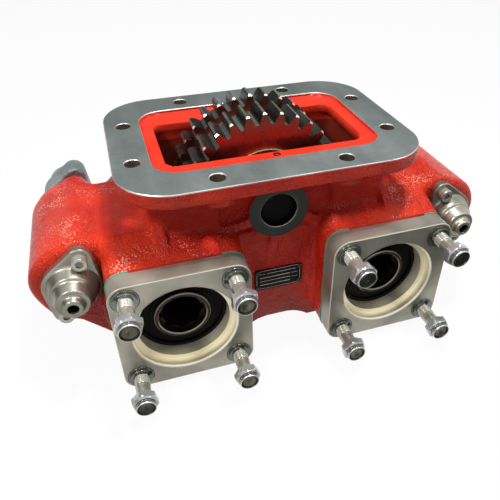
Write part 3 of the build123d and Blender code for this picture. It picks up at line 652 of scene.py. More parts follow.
@dataclass(frozen=True)
class Finish:
    """A surface finish: colour between two tones, gloss with patches, a relief, and tints that paint highlights, shade
    and reflections by how faces lean or where they lie.
    """

    name: str
    light: Triple
    dark: Triple
    metallic: float = 0.0
    roughness: float = 0.35
    spread: float = 0.12
    marks: Marks = Marks.CAST
    size: float = 0.002
    relief: float = 0.00001
    waves: float = 0.5
    patch: float = 0.02
    centre: Pair = (0.0, 0.0)
    specular: float = 0.5
    # Painted highlight on chamfers; on the bronze washer, painted shade
    bevel: Triple | None = None
    # Painted reflection of the red casting on gear ends; painted shade on shaft and washer ends
    ends: Triple | None = None
    # Painted light in the pilot recess round each output
    recess: Triple | None = None
    # Painted highlight on the lands of gear teeth
    lands: Triple | None = None
    # Painted glints on faces turned up
    spark: Triple | None = None

    def material(self, effects: Effects) -> bpy.types.Material:
        """Builds the material of this finish from the shared shader groups."""
        made, wires = new_material(self.name)
        shader = made.node_tree.nodes["Principled BSDF"].inputs
        shader["Metallic"].default_value = self.metallic
        shader["Specular IOR Level"].default_value = self.specular
        place = wires.node("ShaderNodeTexCoord").outputs["Object"]
        shift = (-self.centre[0] * METRES, 0, -self.centre[1] * METRES)
        middle = wires.node("ShaderNodeMapping", Location=shift, Vector=place).outputs[0]
        cast = self.marks is Marks.CAST
        own = {"Waves": self.waves} if cast else {"Turned": float(self.marks is Marks.TURNED)}
        relief = wires.node("ShaderNodeGroup", node_tree=effects.grain if cast else effects.marks, Vector=middle,
                            Size=self.size, **own).outputs
        patches = wires.node("ShaderNodeGroup", node_tree=effects.smudges, Vector=place, Size=self.patch)
        tone = relief["Tone" if cast else "Streak"]
        ramp = wires.node("ShaderNodeMapRange", From_Min=0.35, From_Max=0.65, Value=tone)
        shade = wires.mix(ramp.outputs[0], self.dark, self.light)
        # Painted light by how far the normal leans to Y: tints on chamfers and ends, which are painted highlights,
        # painted shade and a painted reflection of the red casting, as each finish gives
        for tint, low, high in ((self.ends, 0.75, 1.0), (self.bevel, 0.45, 0.85)):
            if tint:
                shade = wires.mix(self.facing(wires, low, high), shade, tint)
        # Painted light in the pilot recess
        if self.recess:
            shade = wires.mix(self.around_output(wires), shade, self.recess)
        # Painted highlight on the tooth lands
        if self.lands:
            shade = wires.mix(self.on_lands(wires, middle), shade, self.lands)
        # Painted glints on faces turned up
        if self.spark:
            shade = wires.mix(wires.times(relief["Spark"], self.on_top(wires)), shade, self.spark)
        wires.put(shade, shader["Base Color"])
        gloss = wires.node("ShaderNodeMapRange", From_Min=0.3, From_Max=0.7, To_Min=self.roughness - self.spread,
                           To_Max=self.roughness + self.spread, Value=patches.outputs["Mask"])
        wires.put(gloss.outputs[0], shader["Roughness"])
        bump = wires.node("ShaderNodeBump", Distance=self.relief, Strength=1.0, Height=relief["Height"])
        wires.put(bump.outputs[0], shader["Normal"])
        return made

    @staticmethod
    def facing(wires: Wiring, low: float, high: float) -> Socket:
        """Mask of the faces whose normal leans to the Y axis by a share between low and high, where painted highlight
        or shade goes.
        """
        size = wires.math("ABSOLUTE", wires.parts("Normal")[1])
        inside = wires.math("GREATER_THAN", size, low)
        return wires.times(inside, wires.math("LESS_THAN", size, high)) if high < 1 else inside

    @staticmethod
    def around_output(wires: Wiring) -> Socket:
        """Mask of what lies near either output's axis, by the length of (|x| - its x, z - its z), where the recess's
        painted light goes.
        """
        x, _, z = wires.parts("Object")
        side = wires.math("SUBTRACT", wires.math("ABSOLUTE", x), OUTPUT_X * METRES)
        away = wires.length(side, wires.math("SUBTRACT", z, OUTPUT_Z * METRES))
        return wires.math("LESS_THAN", away, PILOT_REACH * METRES)

    @staticmethod
    def on_lands(wires: Wiring, place: Socket) -> Socket:
        """Mask of the lands of gear teeth, for their painted highlight: there the normal runs along the radius, so
        their product is near 1.
        """
        radial = wires.vector("NORMALIZE", wires.vector("MULTIPLY", place, (1, 0, 1))[0])[0]
        normal = wires.node("ShaderNodeTexCoord").outputs["Normal"]
        return wires.math("GREATER_THAN", wires.vector("DOT_PRODUCT", radial, normal)["Value"], 0.93)

    @staticmethod
    def on_top(wires: Wiring) -> Socket:
        """How far a normal leans upwards, where lamps above would light it, for painted glints: from 0 where its Z is
        0.4 to 0.8 where it is 0.9.
        """
        rise = wires.parts("Normal")[2]
        return wires.node("ShaderNodeMapRange", From_Min=0.4, From_Max=0.9, To_Max=0.8, Value=rise).outputs[0]


FINISHES = (
    # Red paint with painted glints on faces turned up
    Finish("cast_red_paint", (0.8, 0.038, 0.008), (0.56, 0.016, 0.005), roughness=0.24, spread=0.06, size=0.001,
           relief=0.0016, waves=0.3, specular=0.24, spark=(1.0, 0.46, 0.34)),
    Finish("ledge_red_paint", (0.76, 0.042, 0.016), (0.62, 0.028, 0.013), roughness=0.3, spread=0.1, size=0.0012,
           relief=0.0002, waves=0.3, specular=0.35),
    # Painted shade: dark red for the cavity and the outer side walls of the bosses
    Finish("painted_shade_red", (0.3, 0.034, 0.018), (0.14, 0.018, 0.009), roughness=0.5, spread=0.1, size=0.0012,
           relief=0.0002, waves=0.3, specular=0.2),
    Finish("ground_iron", (0.36, 0.39, 0.38), (0.28, 0.31, 0.305), metallic=0.85, roughness=0.42, spread=0.08,
           marks=Marks.MILLED, size=0.003, relief=0.000008, patch=0.05),
    # Bare chamfers and lips, painted lighter than the metal beside them as a highlight
    Finish("bare_edge_and_highlight", (0.75, 0.75, 0.72), (0.5, 0.5, 0.48), metallic=0.7, roughness=0.35, spread=0.08,
           relief=0.00002),
    Finish("bore_iron", (0.2, 0.175, 0.13), (0.1, 0.085, 0.06), metallic=0.3, roughness=0.5, relief=0.0001,
           specular=0.3),
    Finish("boss_iron", (0.085, 0.1, 0.094), (0.05, 0.06, 0.056), metallic=0.3, roughness=0.55, marks=Marks.TURNED,
           size=0.0012, centre=(0.0, INPUT_Z), specular=0.2),
    # Painted highlights on chamfers and lands, and a painted reflection of the red casting on the ends
    Finish("input_gear_steel", (0.17, 0.16, 0.14), (0.06, 0.056, 0.05), metallic=0.9, roughness=0.3, spread=0.1,
           relief=0.00003, patch=0.006, centre=(0.0, INPUT_Z), bevel=(0.55, 0.5, 0.42), ends=(0.22, 0.055, 0.04),
           lands=(0.4, 0.39, 0.34)),
    # Painted highlight on chamfers and a painted reflection of the red casting on the ends
    Finish("gear_steel", (0.34, 0.32, 0.28), (0.14, 0.13, 0.115), metallic=0.9, roughness=0.28, spread=0.1,
           relief=0.00003, patch=0.006, bevel=(0.8, 0.75, 0.66), ends=(0.25, 0.075, 0.055)),
    # Painted highlight on chamfers
    Finish("ground_steel", (0.2, 0.18, 0.15), (0.11, 0.1, 0.085), metallic=0.9, roughness=0.35, spread=0.1, size=0.003,
           bevel=(0.55, 0.52, 0.45)),
    # Painted highlight on chamfers and painted shade on the ends
    Finish("shaft_steel", (0.05, 0.045, 0.04), (0.02, 0.018, 0.015), metallic=0.7, roughness=0.38, spread=0.1,
           size=0.003, bevel=(0.3, 0.28, 0.22), ends=(0.03, 0.026, 0.019), specular=0.2),
    Finish("bearing_steel", (0.5, 0.5, 0.5), (0.35, 0.35, 0.35), roughness=0.25, metallic=1.0),
    # Painted shade on the faces along Y, so only the rim shows bronze
    Finish("bronze_washer", (0.9, 0.68, 0.35), (0.75, 0.55, 0.27), metallic=0.6, roughness=0.3, spread=0.1, bevel=(0.03,
           0.02, 0.015), ends=(0.03, 0.02, 0.015)),
    # Painted highlight on chamfers and painted light in the pilot recess
    Finish("milled_aluminium", (0.52, 0.495, 0.41), (0.26, 0.245, 0.2), metallic=0.6, roughness=0.36, spread=0.08,
           size=0.0016, relief=0.00004, waves=0.2, bevel=(0.55, 0.52, 0.44), recess=(1.0, 0.93, 0.73)),
    Finish("green_gasket", (0.05, 0.42, 0.27), (0.03, 0.3, 0.19), roughness=0.6, relief=0.00003),
    Finish("zinc_stud", (0.6, 0.58, 0.5), (0.36, 0.35, 0.29), metallic=0.6, roughness=0.22, spread=0.06, patch=0.004),
    Finish("stud_end", (0.2, 0.19, 0.13), (0.035, 0.033, 0.022), metallic=0.7, roughness=0.3, size=0.0009,
           relief=0.0002, patch=0.004),
    Finish("bright_zinc", (0.66, 0.67, 0.66), (0.4, 0.41, 0.41), metallic=0.55, roughness=0.16, spread=0.05, size=0.003,
           relief=0.00002, patch=0.004),
    # Painted shade: a darker copy of the nut's zinc, for the collar
    Finish("shaded_collar_zinc", (0.42, 0.42, 0.4), (0.22, 0.22, 0.21), metallic=0.7, roughness=0.2, spread=0.05,
           relief=0.00002, patch=0.004),
    Finish("zinc_washer", (0.22, 0.24, 0.21), (0.12, 0.135, 0.12), metallic=0.85, roughness=0.26, spread=0.08,
           relief=0.00002, patch=0.004),
    Finish("nylon_ring", (0.06, 0.06, 0.05), (0.03, 0.03, 0.025), roughness=0.35, relief=0.00002),
    Finish("seal_rubber", (0.004, 0.004, 0.0045), (0.002, 0.002, 0.0025), roughness=0.4, specular=0.06),
    Finish("black_oxide", (0.006, 0.007, 0.007), (0.003, 0.003, 0.003), roughness=0.5, relief=0.00002, specular=0.1),
    Finish("socket_steel", (0.3, 0.3, 0.29), (0.16, 0.16, 0.155), metallic=0.7, roughness=0.4, relief=0.00002),
    Finish("fork_iron", (0.2, 0.19, 0.18), (0.12, 0.11, 0.1), metallic=0.7, roughness=0.5, relief=0.0001),
    Finish("cast_aluminium", (0.38, 0.36, 0.3), (0.2, 0.19, 0.15), metallic=0.8, roughness=0.32, spread=0.08,
           size=0.0008, relief=0.00006, waves=0.25, patch=0.006),
    Finish("cap_metal", (0.38, 0.42, 0.42), (0.2, 0.225, 0.23), metallic=0.3, roughness=0.5, relief=0.0012),
    Finish("plate_black", (0.006, 0.006, 0.007), (0.003, 0.003, 0.003), roughness=0.35, specular=0.1),
    Finish("plate_print", (1.0, 0.97, 0.88), (0.85, 0.82, 0.74), roughness=0.5),
)


# Sub-assemblies


@dataclass
class Casting(Field):
    """The iron casting: flange, neck, two barrels with shift lobes, bosses, ribs and bored seats."""

    step: float = 2.5
    low: Triple = (-197.3, -88.9, -176.1)
    high: Triple = (197.9, 91.4, 2.6)
    face: float = -1.0
    ledge: float = -3.0
    washer: float = -30.5

    def distance(self, x: Array, y: Array, z: Array) -> Array:
        """Signed distance: the cast forms joined with fillets, less the window, the cavity and the seats."""
        side = np.abs(x) - OUTPUT_X
        rise = z - OUTPUT_Z
        shaft = np.hypot(side, rise)
        along, across = along_rod(side, rise)
        rod = np.hypot(along - ROD_DISTANCE, across)
        around = np.hypot(x, z - INPUT_Z)
        holes = [np.hypot(np.abs(x) - hole_x, np.abs(y) - hole_y) for hole_x, hole_y in BOLT_HOLES]
        # Flange with bosses under its bolt holes, and the neck with its arched skirt
        flange = prism(rounded_box(x, y, 118.5, 87.5, 40), z, -12, 12, 2.2)
        for hole in holes:
            flange = blend(flange, prism(hole - 12, z, -18, -6, 1.5), 4)
        neck = prism(rounded_box(x, y + 4, 98, 56, 18), z, -156, -2, 8)
        body = blend(flange, neck, 9)
        arch = -157.5 - 9 * np.clip((np.abs(x) - 8) / 22, 0, 1) ** 2
        body = blend(body, prism(rounded_box(x, y + 25, 60, 35, 6), z, arch, -120, 2), 3)
        # Dish round the spindle boss
        body = carve(body, np.maximum.reduce([around - 46, y + 56, z + 15, -61 - z]), 5)
        # Barrels joined with their shift lobes; the tubes behind them taper to the rear
        barrel = prism(two_circles(along, across, 63, 30, ROD_DISTANCE), y, LOBE_FRONT, 40, 4)
        late = np.clip((y - 40) / 38, 0, 1)
        sunk = 9 * np.clip((41 - y) / 5, 0, 1)
        tubes = blend(prism(shaft - 63 + 5 * late + sunk, y, 20, 78, 5),
                      prism(rod - 27 + 7 * late + sunk, y, 20, 67, 2), 14)
        body = blend(body, blend(barrel, tubes, 3), 12)
        ridge = prism(two_circles(np.abs(across), along - ROD_DISTANCE, 27, 12.5, EAR), y, LOBE_FRONT, 51, 4)
        body = blend(body, ridge, 9)
        # Round nose and square boss of each output, the lip on the boss and its buttress
        body = blend(body, prism(shaft - 59, y, -62, -40, 3), 3)
        growth = 5.25 * np.clip((y - OUTPUT_FACE) / (LOBE_FRONT - OUTPUT_FACE), 0, 1)
        boss = prism(rounded_box(side, rise - growth, 52.5, 52.5 + growth, 13), y, OUTPUT_FACE, -50, 0.6)
        body = blend(body, boss, 4)
        lip = (rise - 54.1) * math.cos(0.26) - (y + 82.7) * math.sin(0.26)
        lip = np.maximum.reduce([lip, np.abs(side) - 33, -82.7 - y, y + 60, 46 - rise])
        body = blend(body, np.where(y < OUTPUT_FACE, np.maximum(lip, 53.3 - rise), lip), 5)
        buttress = (rise - 51.5) * math.cos(0.714) - (y + 80.5) * math.sin(0.714)
        body = blend(body, np.maximum.reduce([buttress, np.abs(side - 6.5) - 3.5, y + 56, 44 - rise]), 4)
        # Spindle boss and its three ribs
        body = blend(body, prism(around - 23.7, y, -62.6, -40, 0.6), 4)
        for turn in (-97, -25, 196):
            cos, sin = math.cos(math.radians(turn)), math.sin(math.radians(turn))
            away, beside = x * cos + (z - INPUT_Z) * sin, (z - INPUT_Z) * cos - x * sin
            crest = -63.0 + 2.0 * np.clip((away - 26) / 20, 0, 1)
            body = blend(body, prism(rounded_box(away - 34, beside, 14, 3.8, 2.5), y, crest, -50, 1.2), 3)
        body = carve(body, np.maximum(around - 25.5, y + 62.5))
        # Feet, flange face and ledge cut flat, then the cavity and its thrust pads
        body = np.maximum(body, -171.8 - z)
        body = np.maximum(body, z - self.face)
        body = np.maximum(body, -rounded_box(x, y, 90, 57.5, 20) - np.maximum(self.ledge - z, 0) * 10)
        window = np.maximum(rounded_box(x, y, 79, 38.5, 8), -24 - z)
        inner = prism(rounded_box(x, y + 3, 88, 43, 8), z, -146, -12, 4)
        body = carve(carve(body, inner), window, 3)
        pads = np.maximum(around - 34, np.minimum(y + 30.6, 33.9 - y))
        pads = np.maximum(pads, np.maximum(-50 - y, y - 50))
        body = np.minimum(body, pads)
        # Bores of the spindle, the shafts and the rods: axis, radius, front and back
        for axis, radius, front, back in (
                (around, 14.02, -70, 48), (around, 15.6, -200, -58), (shaft, 56, -44, 38),
                (shaft, 42.52, -90, -43), (shaft, 40.02, 37, 60), (shaft, 30, 37, 68),
                (rod, 18.3, -70, -37), (rod, 7.04, -40, 90), (rod, 19.02, 69.7, 200)):
            body = carve(body, np.maximum(axis - radius, np.maximum(front - y, y - back)))
        # Room of the fork, from the rod to the shaft, and the bolt holes
        slot = np.maximum(np.abs(along - ROD_DISTANCE + 28) - 28, np.abs(across) - 15)
        body = carve(body, np.maximum(np.minimum(rod - 15, slot), np.maximum(-23.7 - y, y - 15.8)))
        for hole in holes:
            body = carve(body, np.maximum(hole - 6.2, -19 - z))
        return body

    def build(self, finishes: Materials) -> None:
        """Makes the casting and the machined skin on its flange and spindle boss."""
        points, faces = self.surface()
        x, y, z = points[faces].mean(1).T
        # Red ledge round the window; painted shade in the cavity, on the outer side wall of each boss and, black, in
        # the spindle bore
        ledge = (z > -19) & (rounded_box(x, y, 91, 58.5, 21) < 0)
        inside = (z < -19) & (z > -147) & (rounded_box(x, y + 3, 88.6, 43.6, 8) < 0)
        side, rise = np.abs(x) - OUTPUT_X, z - OUTPUT_Z
        # Painted shade on the outer side wall of each output's boss
        inside |= (side > 50) & (side < 54) & (y < -55) & (y > -81) & (rise > -25) & (rise < 47)
        # Painted shade: the spindle bore is black
        shaded_bore = (np.hypot(x, z - INPUT_Z) < 16.2) & (y < -44) & (y > -62.7)
        casting = Piece("casting")
        for finish, chosen in enumerate((~ledge & ~inside & ~shaded_bore, ledge, inside & ~shaded_bore, shaded_bore)):
            casting.add(points, faces[chosen], finish)
        casting.build(finishes, ("cast_red_paint", "ledge_red_paint", "painted_shade_red", "black_oxide"), "cast_paint",
                      ("housing",), sharp=40, weld=0.0005)
        self.build_face(finishes)
        self.build_rings(finishes)

    def build_face(self, finishes: Materials) -> None:
        """Ground top of the flange: a thin skin with bare chamfers round its rim, window and holes, painted lighter
        than the face as a highlight.
        """
        skin = Piece("mounting_face")
        bevel, floor, hole_floor = 0.4, self.face - 0.1, -11.9
        outer = [rounded_outline(118.3 - d, 87.3 - d, 40 - d, 20) for d in (bevel, 0.0, 0.0)]
        inner = [rounded_outline(90 + d, 57.5 + d, 20 + d, 16) for d in (bevel, 0.0, 0.0)]
        heights = (0.0, -bevel, floor)
        rims, bottoms = [outer[0], inner[0]], [outer[2], inner[2]]
        for rings in (outer, inner):
            for k in (0, 1):
                skin.grid(np.stack([level(rings[k + i], heights[k + i]) for i in (0, 1)]), 1)
        for x, y in [(sx * a, sy * b) for a, b in BOLT_HOLES for sx in (-1, 1) for sy in (-1, 1)]:
            rim, wall, sleeve = [circle(radius, 32) + (x, y) for radius in (6.5, 6.0, 6.19)]
            skin.grid(np.stack([level(rim, 0.0), level(wall, -0.5)]), 1)
            skin.grid(np.stack([level(wall, -0.5), level(wall, hole_floor)]), 2)
            skin.grid(np.stack([level(wall, hole_floor), level(sleeve, hole_floor), level(sleeve, floor)]), 2)
            rims.append(rim)
            bottoms.append(sleeve)
        skin.flat(rims, 0.0).flat(bottoms, floor)
        skin.build(finishes, ("ground_iron", "bare_edge_and_highlight", "bore_iron"), "cast_paint")

    def build_rings(self, finishes: Materials) -> None:
        """Turned rings about the spindle: the face of its boss, and the thrust ring before the gear."""
        ring = Piece("spindle_boss_face")
        face = np.array([(15.9, -62.3), (24.3, -62.3), (24.3, -62.8), (24.0, -63.0), (15.1, -63.0)])
        # Painted highlight on the edge
        edge = np.array([(15.1, -63.0), (14.9, -62.8), (14.9, -62.7)])
        # Painted shade: the bore is black
        bore = np.array([(14.9, -62.7), (14.9, -58.0), (15.9, -58.0), (15.9, -62.3)])
        for finish, profile in enumerate((face, edge, bore)):
            ring.turned(profile, (0.0, INPUT_Z), 72, finish)
        ring.build(finishes, ("boss_iron", "bare_edge_and_highlight", "black_oxide"), "cast_paint")
        profile = np.array([(16.2, 0.0), (36.0, 0.0), (36.4, 0.4), (36.4, 2.0), (36.0, 2.4), (16.2, 2.4)])
        washer = Piece("thrust_ring").turned(profile + (0, self.washer), (0.0, INPUT_Z), 96, close_rows=True)
        washer.build(finishes, ("bronze_washer",), "bronze", ("thrust_washer_front",))


@dataclass
class Fasteners:
    """Studs of one output with their washers and self-locking nuts, on an 80 mm square."""

    side: str
    sign: int
    spacing: float = 80.0
    radius: float = 6.0
    pitch: float = 1.75
    flats: float = 9.0
    seat: float = -97.0
    tip: float = -130.0
    turns: tuple[float, ...] = (0.2, 0.75, 0.45, 1.0)

    def centres(self) -> list[Pair]:
        """X and Z of the four studs."""
        half = self.spacing / 2
        return [(self.sign * OUTPUT_X + a * half, OUTPUT_Z + b * half) for a in (-1, 1) for b in (-1, 1)]

    def build(self, finishes: Materials) -> None:
        """Makes the studs, both kinds of washer and the nuts."""
        self.build_studs(finishes)
        self.build_washers(finishes)
        self.build_nuts(finishes)

    def build_studs(self, finishes: Materials) -> None:
        """Studs: near the plate the radius falls by a triangle wave of y / pitch - turn, elsewhere it is smooth."""
        studs = Piece(f"{self.side}_studs")
        turn = full_turn(32)
        y = np.concatenate([[-61.5, -61.5, -96.0], np.arange(-96.5, -110.0, -0.25), [-110.5, -113.0], [-129.2]])
        phase = (y[:, None] / self.pitch - turn / (2 * np.pi)) % 1
        cut = 0.8 * np.clip((110.0 + y) / 1.5, 0, 1)[:, None] * (y < -96)[:, None]
        radius = self.radius - cut * (1 - np.abs(2 * phase - 1))
        radius[y < -110.2] = self.radius - 0.3
        radius[0] = 0.0
        rim = np.array([(self.radius - 0.3, -129.2), (self.radius - 0.9, self.tip)])
        end = np.array([(self.radius - 0.9, self.tip), (1.3, self.tip + 0.1), (0.9, self.tip + 0.5),
                        (0.0, self.tip + 0.6)])
        for centre in self.centres():
            studs.spin(radius, y[:, None], turn, centre).turned(rim, centre, 32).turned(end, centre, 32, 1)
        studs.build(finishes, ("zinc_stud", "stud_end"), "zinc_stud", (f"{self.side}_flange_studs",), sharp=50)

    def build_washers(self, finishes: Materials) -> None:
        """Flat washers as turned rings, and spring washers as split rings that rise by half a millimetre."""
        flat = Piece(f"{self.side}_plain_washers")
        split = Piece(f"{self.side}_split_washers")
        inner = self.radius + 0.2
        profile = soften([(inner, self.seat), (10.0, self.seat), (10.0, self.seat - 2), (inner, self.seat - 2)], 0.4)
        section = soften([(inner, 0.0), (9.0, 0.0), (9.0, -2.4), (inner, -2.4)], 0.35)
        turn = np.linspace(0.09, 2 * np.pi - 0.09, 40)
        radius = np.repeat(section[:, :1], len(turn), 1)
        depth = self.seat - 2 + section[:, 1:] * 0.94 - 0.14 * turn / (2 * np.pi)
        radius[:, [0, -1]] = section.mean(0)[0]
        depth[:, [0, -1]] = self.seat - 3.2
        for start, centre in zip(self.turns, self.centres()):
            flat.turned(profile, centre, 48, close_rows=True)
            way = turn + start * 3
            way[[0, -1]] = way[[1, -2]]
            split.spin(radius, depth, way, centre, close_rows=True, close_columns=False)
        for piece, kind in ((flat, "flat"), (split, "spring")):
            piece.build(finishes, ("zinc_washer",), "zinc_washer", (f"{self.side}_{kind}_washers",), sharp=50)

    def build_nuts(self, finishes: Materials) -> None:
        """Nuts: the radius is the smaller of the profile's and of the hexagon's, so a cone chamfers the hexagon."""
        nuts = Piece(f"{self.side}_lock_nuts")
        turn = full_turn(96)
        body = np.array([(5.9, -120.0), (8.8, -120.0), (10.4, -120.9), (10.4, -125.3), (9.7, -126.1), (8.7, -126.9),
                         (8.0, -127.2)])
        collar = np.array([(8.0, -127.2), (7.25, -127.3), (7.2, -127.9), (7.75, -128.2), (7.85, -128.5),
                           (7.85, -129.7), (7.7, -130.2)])
        lip = np.array([(7.7, -130.2), (7.5, -130.65), (7.2, -130.85), (6.9, -130.75)])
        nylon = np.array([(6.9, -130.75), (6.7, -130.2), (6.5, -129.4), (6.3, -129.0), (5.7, -128.9), (5.6, -128.0)])
        for start, centre in zip(self.turns, self.centres()):
            for finish, profile in enumerate((body, collar, lip, nylon)):
                radius = np.minimum(profile[:, :1], hexagon(self.flats, turn))
                nuts.spin(radius, profile[:, 1:], turn + start, centre, finish)
        # The collar gets painted shade and the lip a painted highlight
        nuts.build(finishes, ("bright_zinc", "shaded_collar_zinc", "bare_edge_and_highlight", "nylon_ring"), "bright_zinc",
                   (f"{self.side}_stud_nuts",), sharp=28)


@dataclass
class RodCover(Field):
    """A cover on a rod's axis: a rounded diamond with two ears, and what stands on it."""

    side: str
    sign: int

    def place(self, front: float, back: float) -> None:
        """Finds the rod's axis and puts the sampled box round it, from front to back."""
        self.centre = np.array([self.sign * (OUTPUT_X + ROD_OFFSET_X), OUTPUT_Z + ROD_OFFSET_Z])
        x, z = self.centre
        self.low, self.high = (x - 36.13, front, z - 36.21), (x + 36.6, back, z + 36.7)

    def outlines(self, x: Array, z: Array) -> tuple[Array, Array, Array]:
        """Distances to the rounded diamond, to the rod's axis and to the axis of the nearer screw."""
        along, across = along_rod(x * self.sign - OUTPUT_X, z - OUTPUT_Z)
        along, across = along - ROD_DISTANCE, np.abs(across)
        diamond = two_circles(across, along, 22, 9.5, EAR)
        return diamond, np.hypot(along, across), np.hypot(along, across - EAR)


@dataclass
class AirCover(RodCover):
    """Cast cover of a shift cylinder: a rounded diamond and three tapering steps, the last with the air port."""

    step: float = 0.8
    base: float = 7.0
    draft: float = 0.28
    port: float = 4.2
    bore: float = 18.04
    hole: float = 3.3
    steps: tuple[Triple, ...] = ((19.3, -60.0, -70.0), (15.0, -70.0, -79.8), (8.4, -79.8, -85.0))

    def __post_init__(self) -> None:
        """Places the sampled box."""
        self.place(-86.07, -51.9)

    def distance(self, x: Array, y: Array, z: Array) -> Array:
        """Signed distance: diamond and steps joined with fillets, less the port and the piston's bore."""
        diamond, rod, screw = self.outlines(x, z)
        body = prism(diamond, y, LOBE_FRONT - self.base, LOBE_FRONT, 0.9)
        for radius, back, front in self.steps:
            drop = self.draft * np.maximum(back - y, 0)
            body = blend(body, prism(rod - radius + drop, y, front, back + 5, 0.9), 2.0)
        body = carve(body, np.maximum(rod - self.port, y + 76))
        body = carve(body, np.maximum(rod - self.bore, -59.3 - y))
        return carve(body, screw - self.hole)

    def build(self, finishes: Materials) -> None:
        """Makes the cover, with painted shade in its port, and its two socket screws."""
        points, faces = self.surface()
        middle = points[faces].mean(1)
        # Painted shade: the port's walls are black
        port = np.hypot(*(middle[:, [0, 2]] - self.centre).T) < 4.6
        port &= (middle[:, 1] > -83.6) & (middle[:, 1] < -74)
        cover = Piece(f"{self.side}_cover").add(points, faces[~port]).add(points, faces[port], 1)
        cover.build(finishes, ("cast_aluminium", "black_oxide"), "cover_aluminium", (f"{self.side}_air_cover",),
                    sharp=50, weld=0.0005)
        self.build_screws(finishes)

    def build_screws(self, finishes: Materials) -> None:
        """Socket screws: round heads, in which every radius under the rim's is that of a hexagon at most."""
        screws = Piece(f"{self.side}_socket_screws")
        turn = full_turn(48)
        head = np.array([(0, -39.0), (3.0, -39.0), (3.0, -59.5), (5.6, -59.5), (5.7, -60.0), (5.7, -65.4),
                         (5.4, -66.1), (4.8, -66.3), (3.1, -66.1), (2.9, -65.9)])
        socket = np.array([(2.9, -65.9), (2.8, -64.6), (0.8, -64.4), (0, -64.9)])
        way = np.array([-self.sign * math.sin(ROD_ANGLE), math.cos(ROD_ANGLE)])
        for along in (-EAR, EAR):
            for finish, profile in enumerate((head, socket)):
                radius = profile[:, :1]
                radius = np.where(radius < 3.0, np.minimum(radius, hexagon(2.5, turn)), radius)
                screws.spin(radius, profile[:, 1:], turn, self.centre + way * along, finish)
        screws.build(finishes, ("zinc_stud", "socket_steel"), "screw_steel", (f"{self.side}_cover_screws",), sharp=35)


@dataclass
class RearCover(RodCover):
    """Cover behind a shift cylinder: a rounded diamond like the front one, with a round tower for the spring."""

    step: float = 1.0
    seat: float = 66.0
    face: float = 88.0
    back: float = 110.0
    wall: float = 6.0
    tower: float = 17.0
    room: float = 12.0

    def __post_init__(self) -> None:
        """Places the sampled box."""
        self.place(self.seat - 2.07, self.back + 2.1)

    def distance(self, x: Array, y: Array, z: Array) -> Array:
        """Signed distance: diamond and tower joined with a fillet, less the spring's room."""
        diamond, rod, _ = self.outlines(x, z)
        body = prism(diamond, y, self.seat, self.face, 2.5)
        body = blend(body, prism(rod - self.tower, y, self.face - 5, self.back, 3), 6)
        return carve(body, np.maximum(rod - self.room, y - self.back + self.wall))

    def build(self, finishes: Materials) -> None:
        """Makes the cover in one closed piece."""
        cover = Piece(f"{self.side}_spring_cover").add(*self.surface())
        cover.build(finishes, ("cap_metal",), "cap_metal", (f"{self.side}_rear_cap",), sharp=50, weld=0.0005)


@dataclass
class Nameplate:
    """Black plate on the front wall, with ruled lines and empty fields in place of text."""

    middle: Pair = (1.0, -113.0)
    front: float = -60.8
    relief: float = 0.06

    def build(self, finishes: Materials) -> None:
        """Makes the rules as thin raised bars: four lines, a frame and two empty fields."""
        rules = Piece("nameplate_rules")
        bars = [(0.0, 9.6, 19.5, 0.15), (0.0, -9.6, 19.5, 0.15), (-19.5, 0.0, 0.15, 9.6), (19.5, 0.0, 0.15, 9.6)]
        bars += [(2.5, 6.2, 13.0, 0.2), (-3.0, 2.2, 13.5, 0.3), (-3.0, -1.6, 13.5, 0.2), (-3.0, -5.6, 13.5, 0.3)]
        bars += [(14.5, 2.0 * k, 3.2, 0.12) for k in (1.1, -1.1)] + [(-14.5, 6.2, 2.6, 0.12)]
        for u, v, half_u, half_v in bars:
            self.bar(rules, u, v, half_u, half_v)
        rules.build(finishes, ("plate_print",), "nameplate_black", sharp=30)

    def bar(self, piece: Piece, u: float, v: float, half_u: float, half_v: float) -> None:
        """Adds one bar: a flat box of the given half sizes that stands on the plate."""
        corners = np.array([(-half_u, -half_v), (half_u, -half_v), (half_u, half_v), (-half_u, half_v)]) + (u, v)
        x, z = (corners + self.middle).T
        low = np.stack([x, np.full(4, self.front), z], 1)
        high = low - (0, self.relief, 0)
        faces = [(4, 5, 6, 7), (3, 2, 1, 0), (0, 1, 5, 4), (1, 2, 6, 5), (2, 3, 7, 6), (3, 0, 4, 7)]
        piece.add(np.concatenate([low, high]), np.array(faces))


def aim(thing: bpy.types.Object, place: Triple, way: Vector) -> None:
    """Puts an object at a place and turns its -Z axis along a way."""
    thing.location = place
    thing.rotation_mode = "QUATERNION"
    thing.rotation_quaternion = way.to_track_quat("-Z", "Y")


def quad(name: str, corners: list[Triple], finish: bpy.types.Material) -> bpy.types.Object:
    """Makes one flat face of the studio."""
    mesh = bpy.data.meshes.new(name)
    mesh.from_pydata(corners, [], [(0, 1, 2, 3)])
    mesh.materials.append(finish)
    return linked(name, mesh)


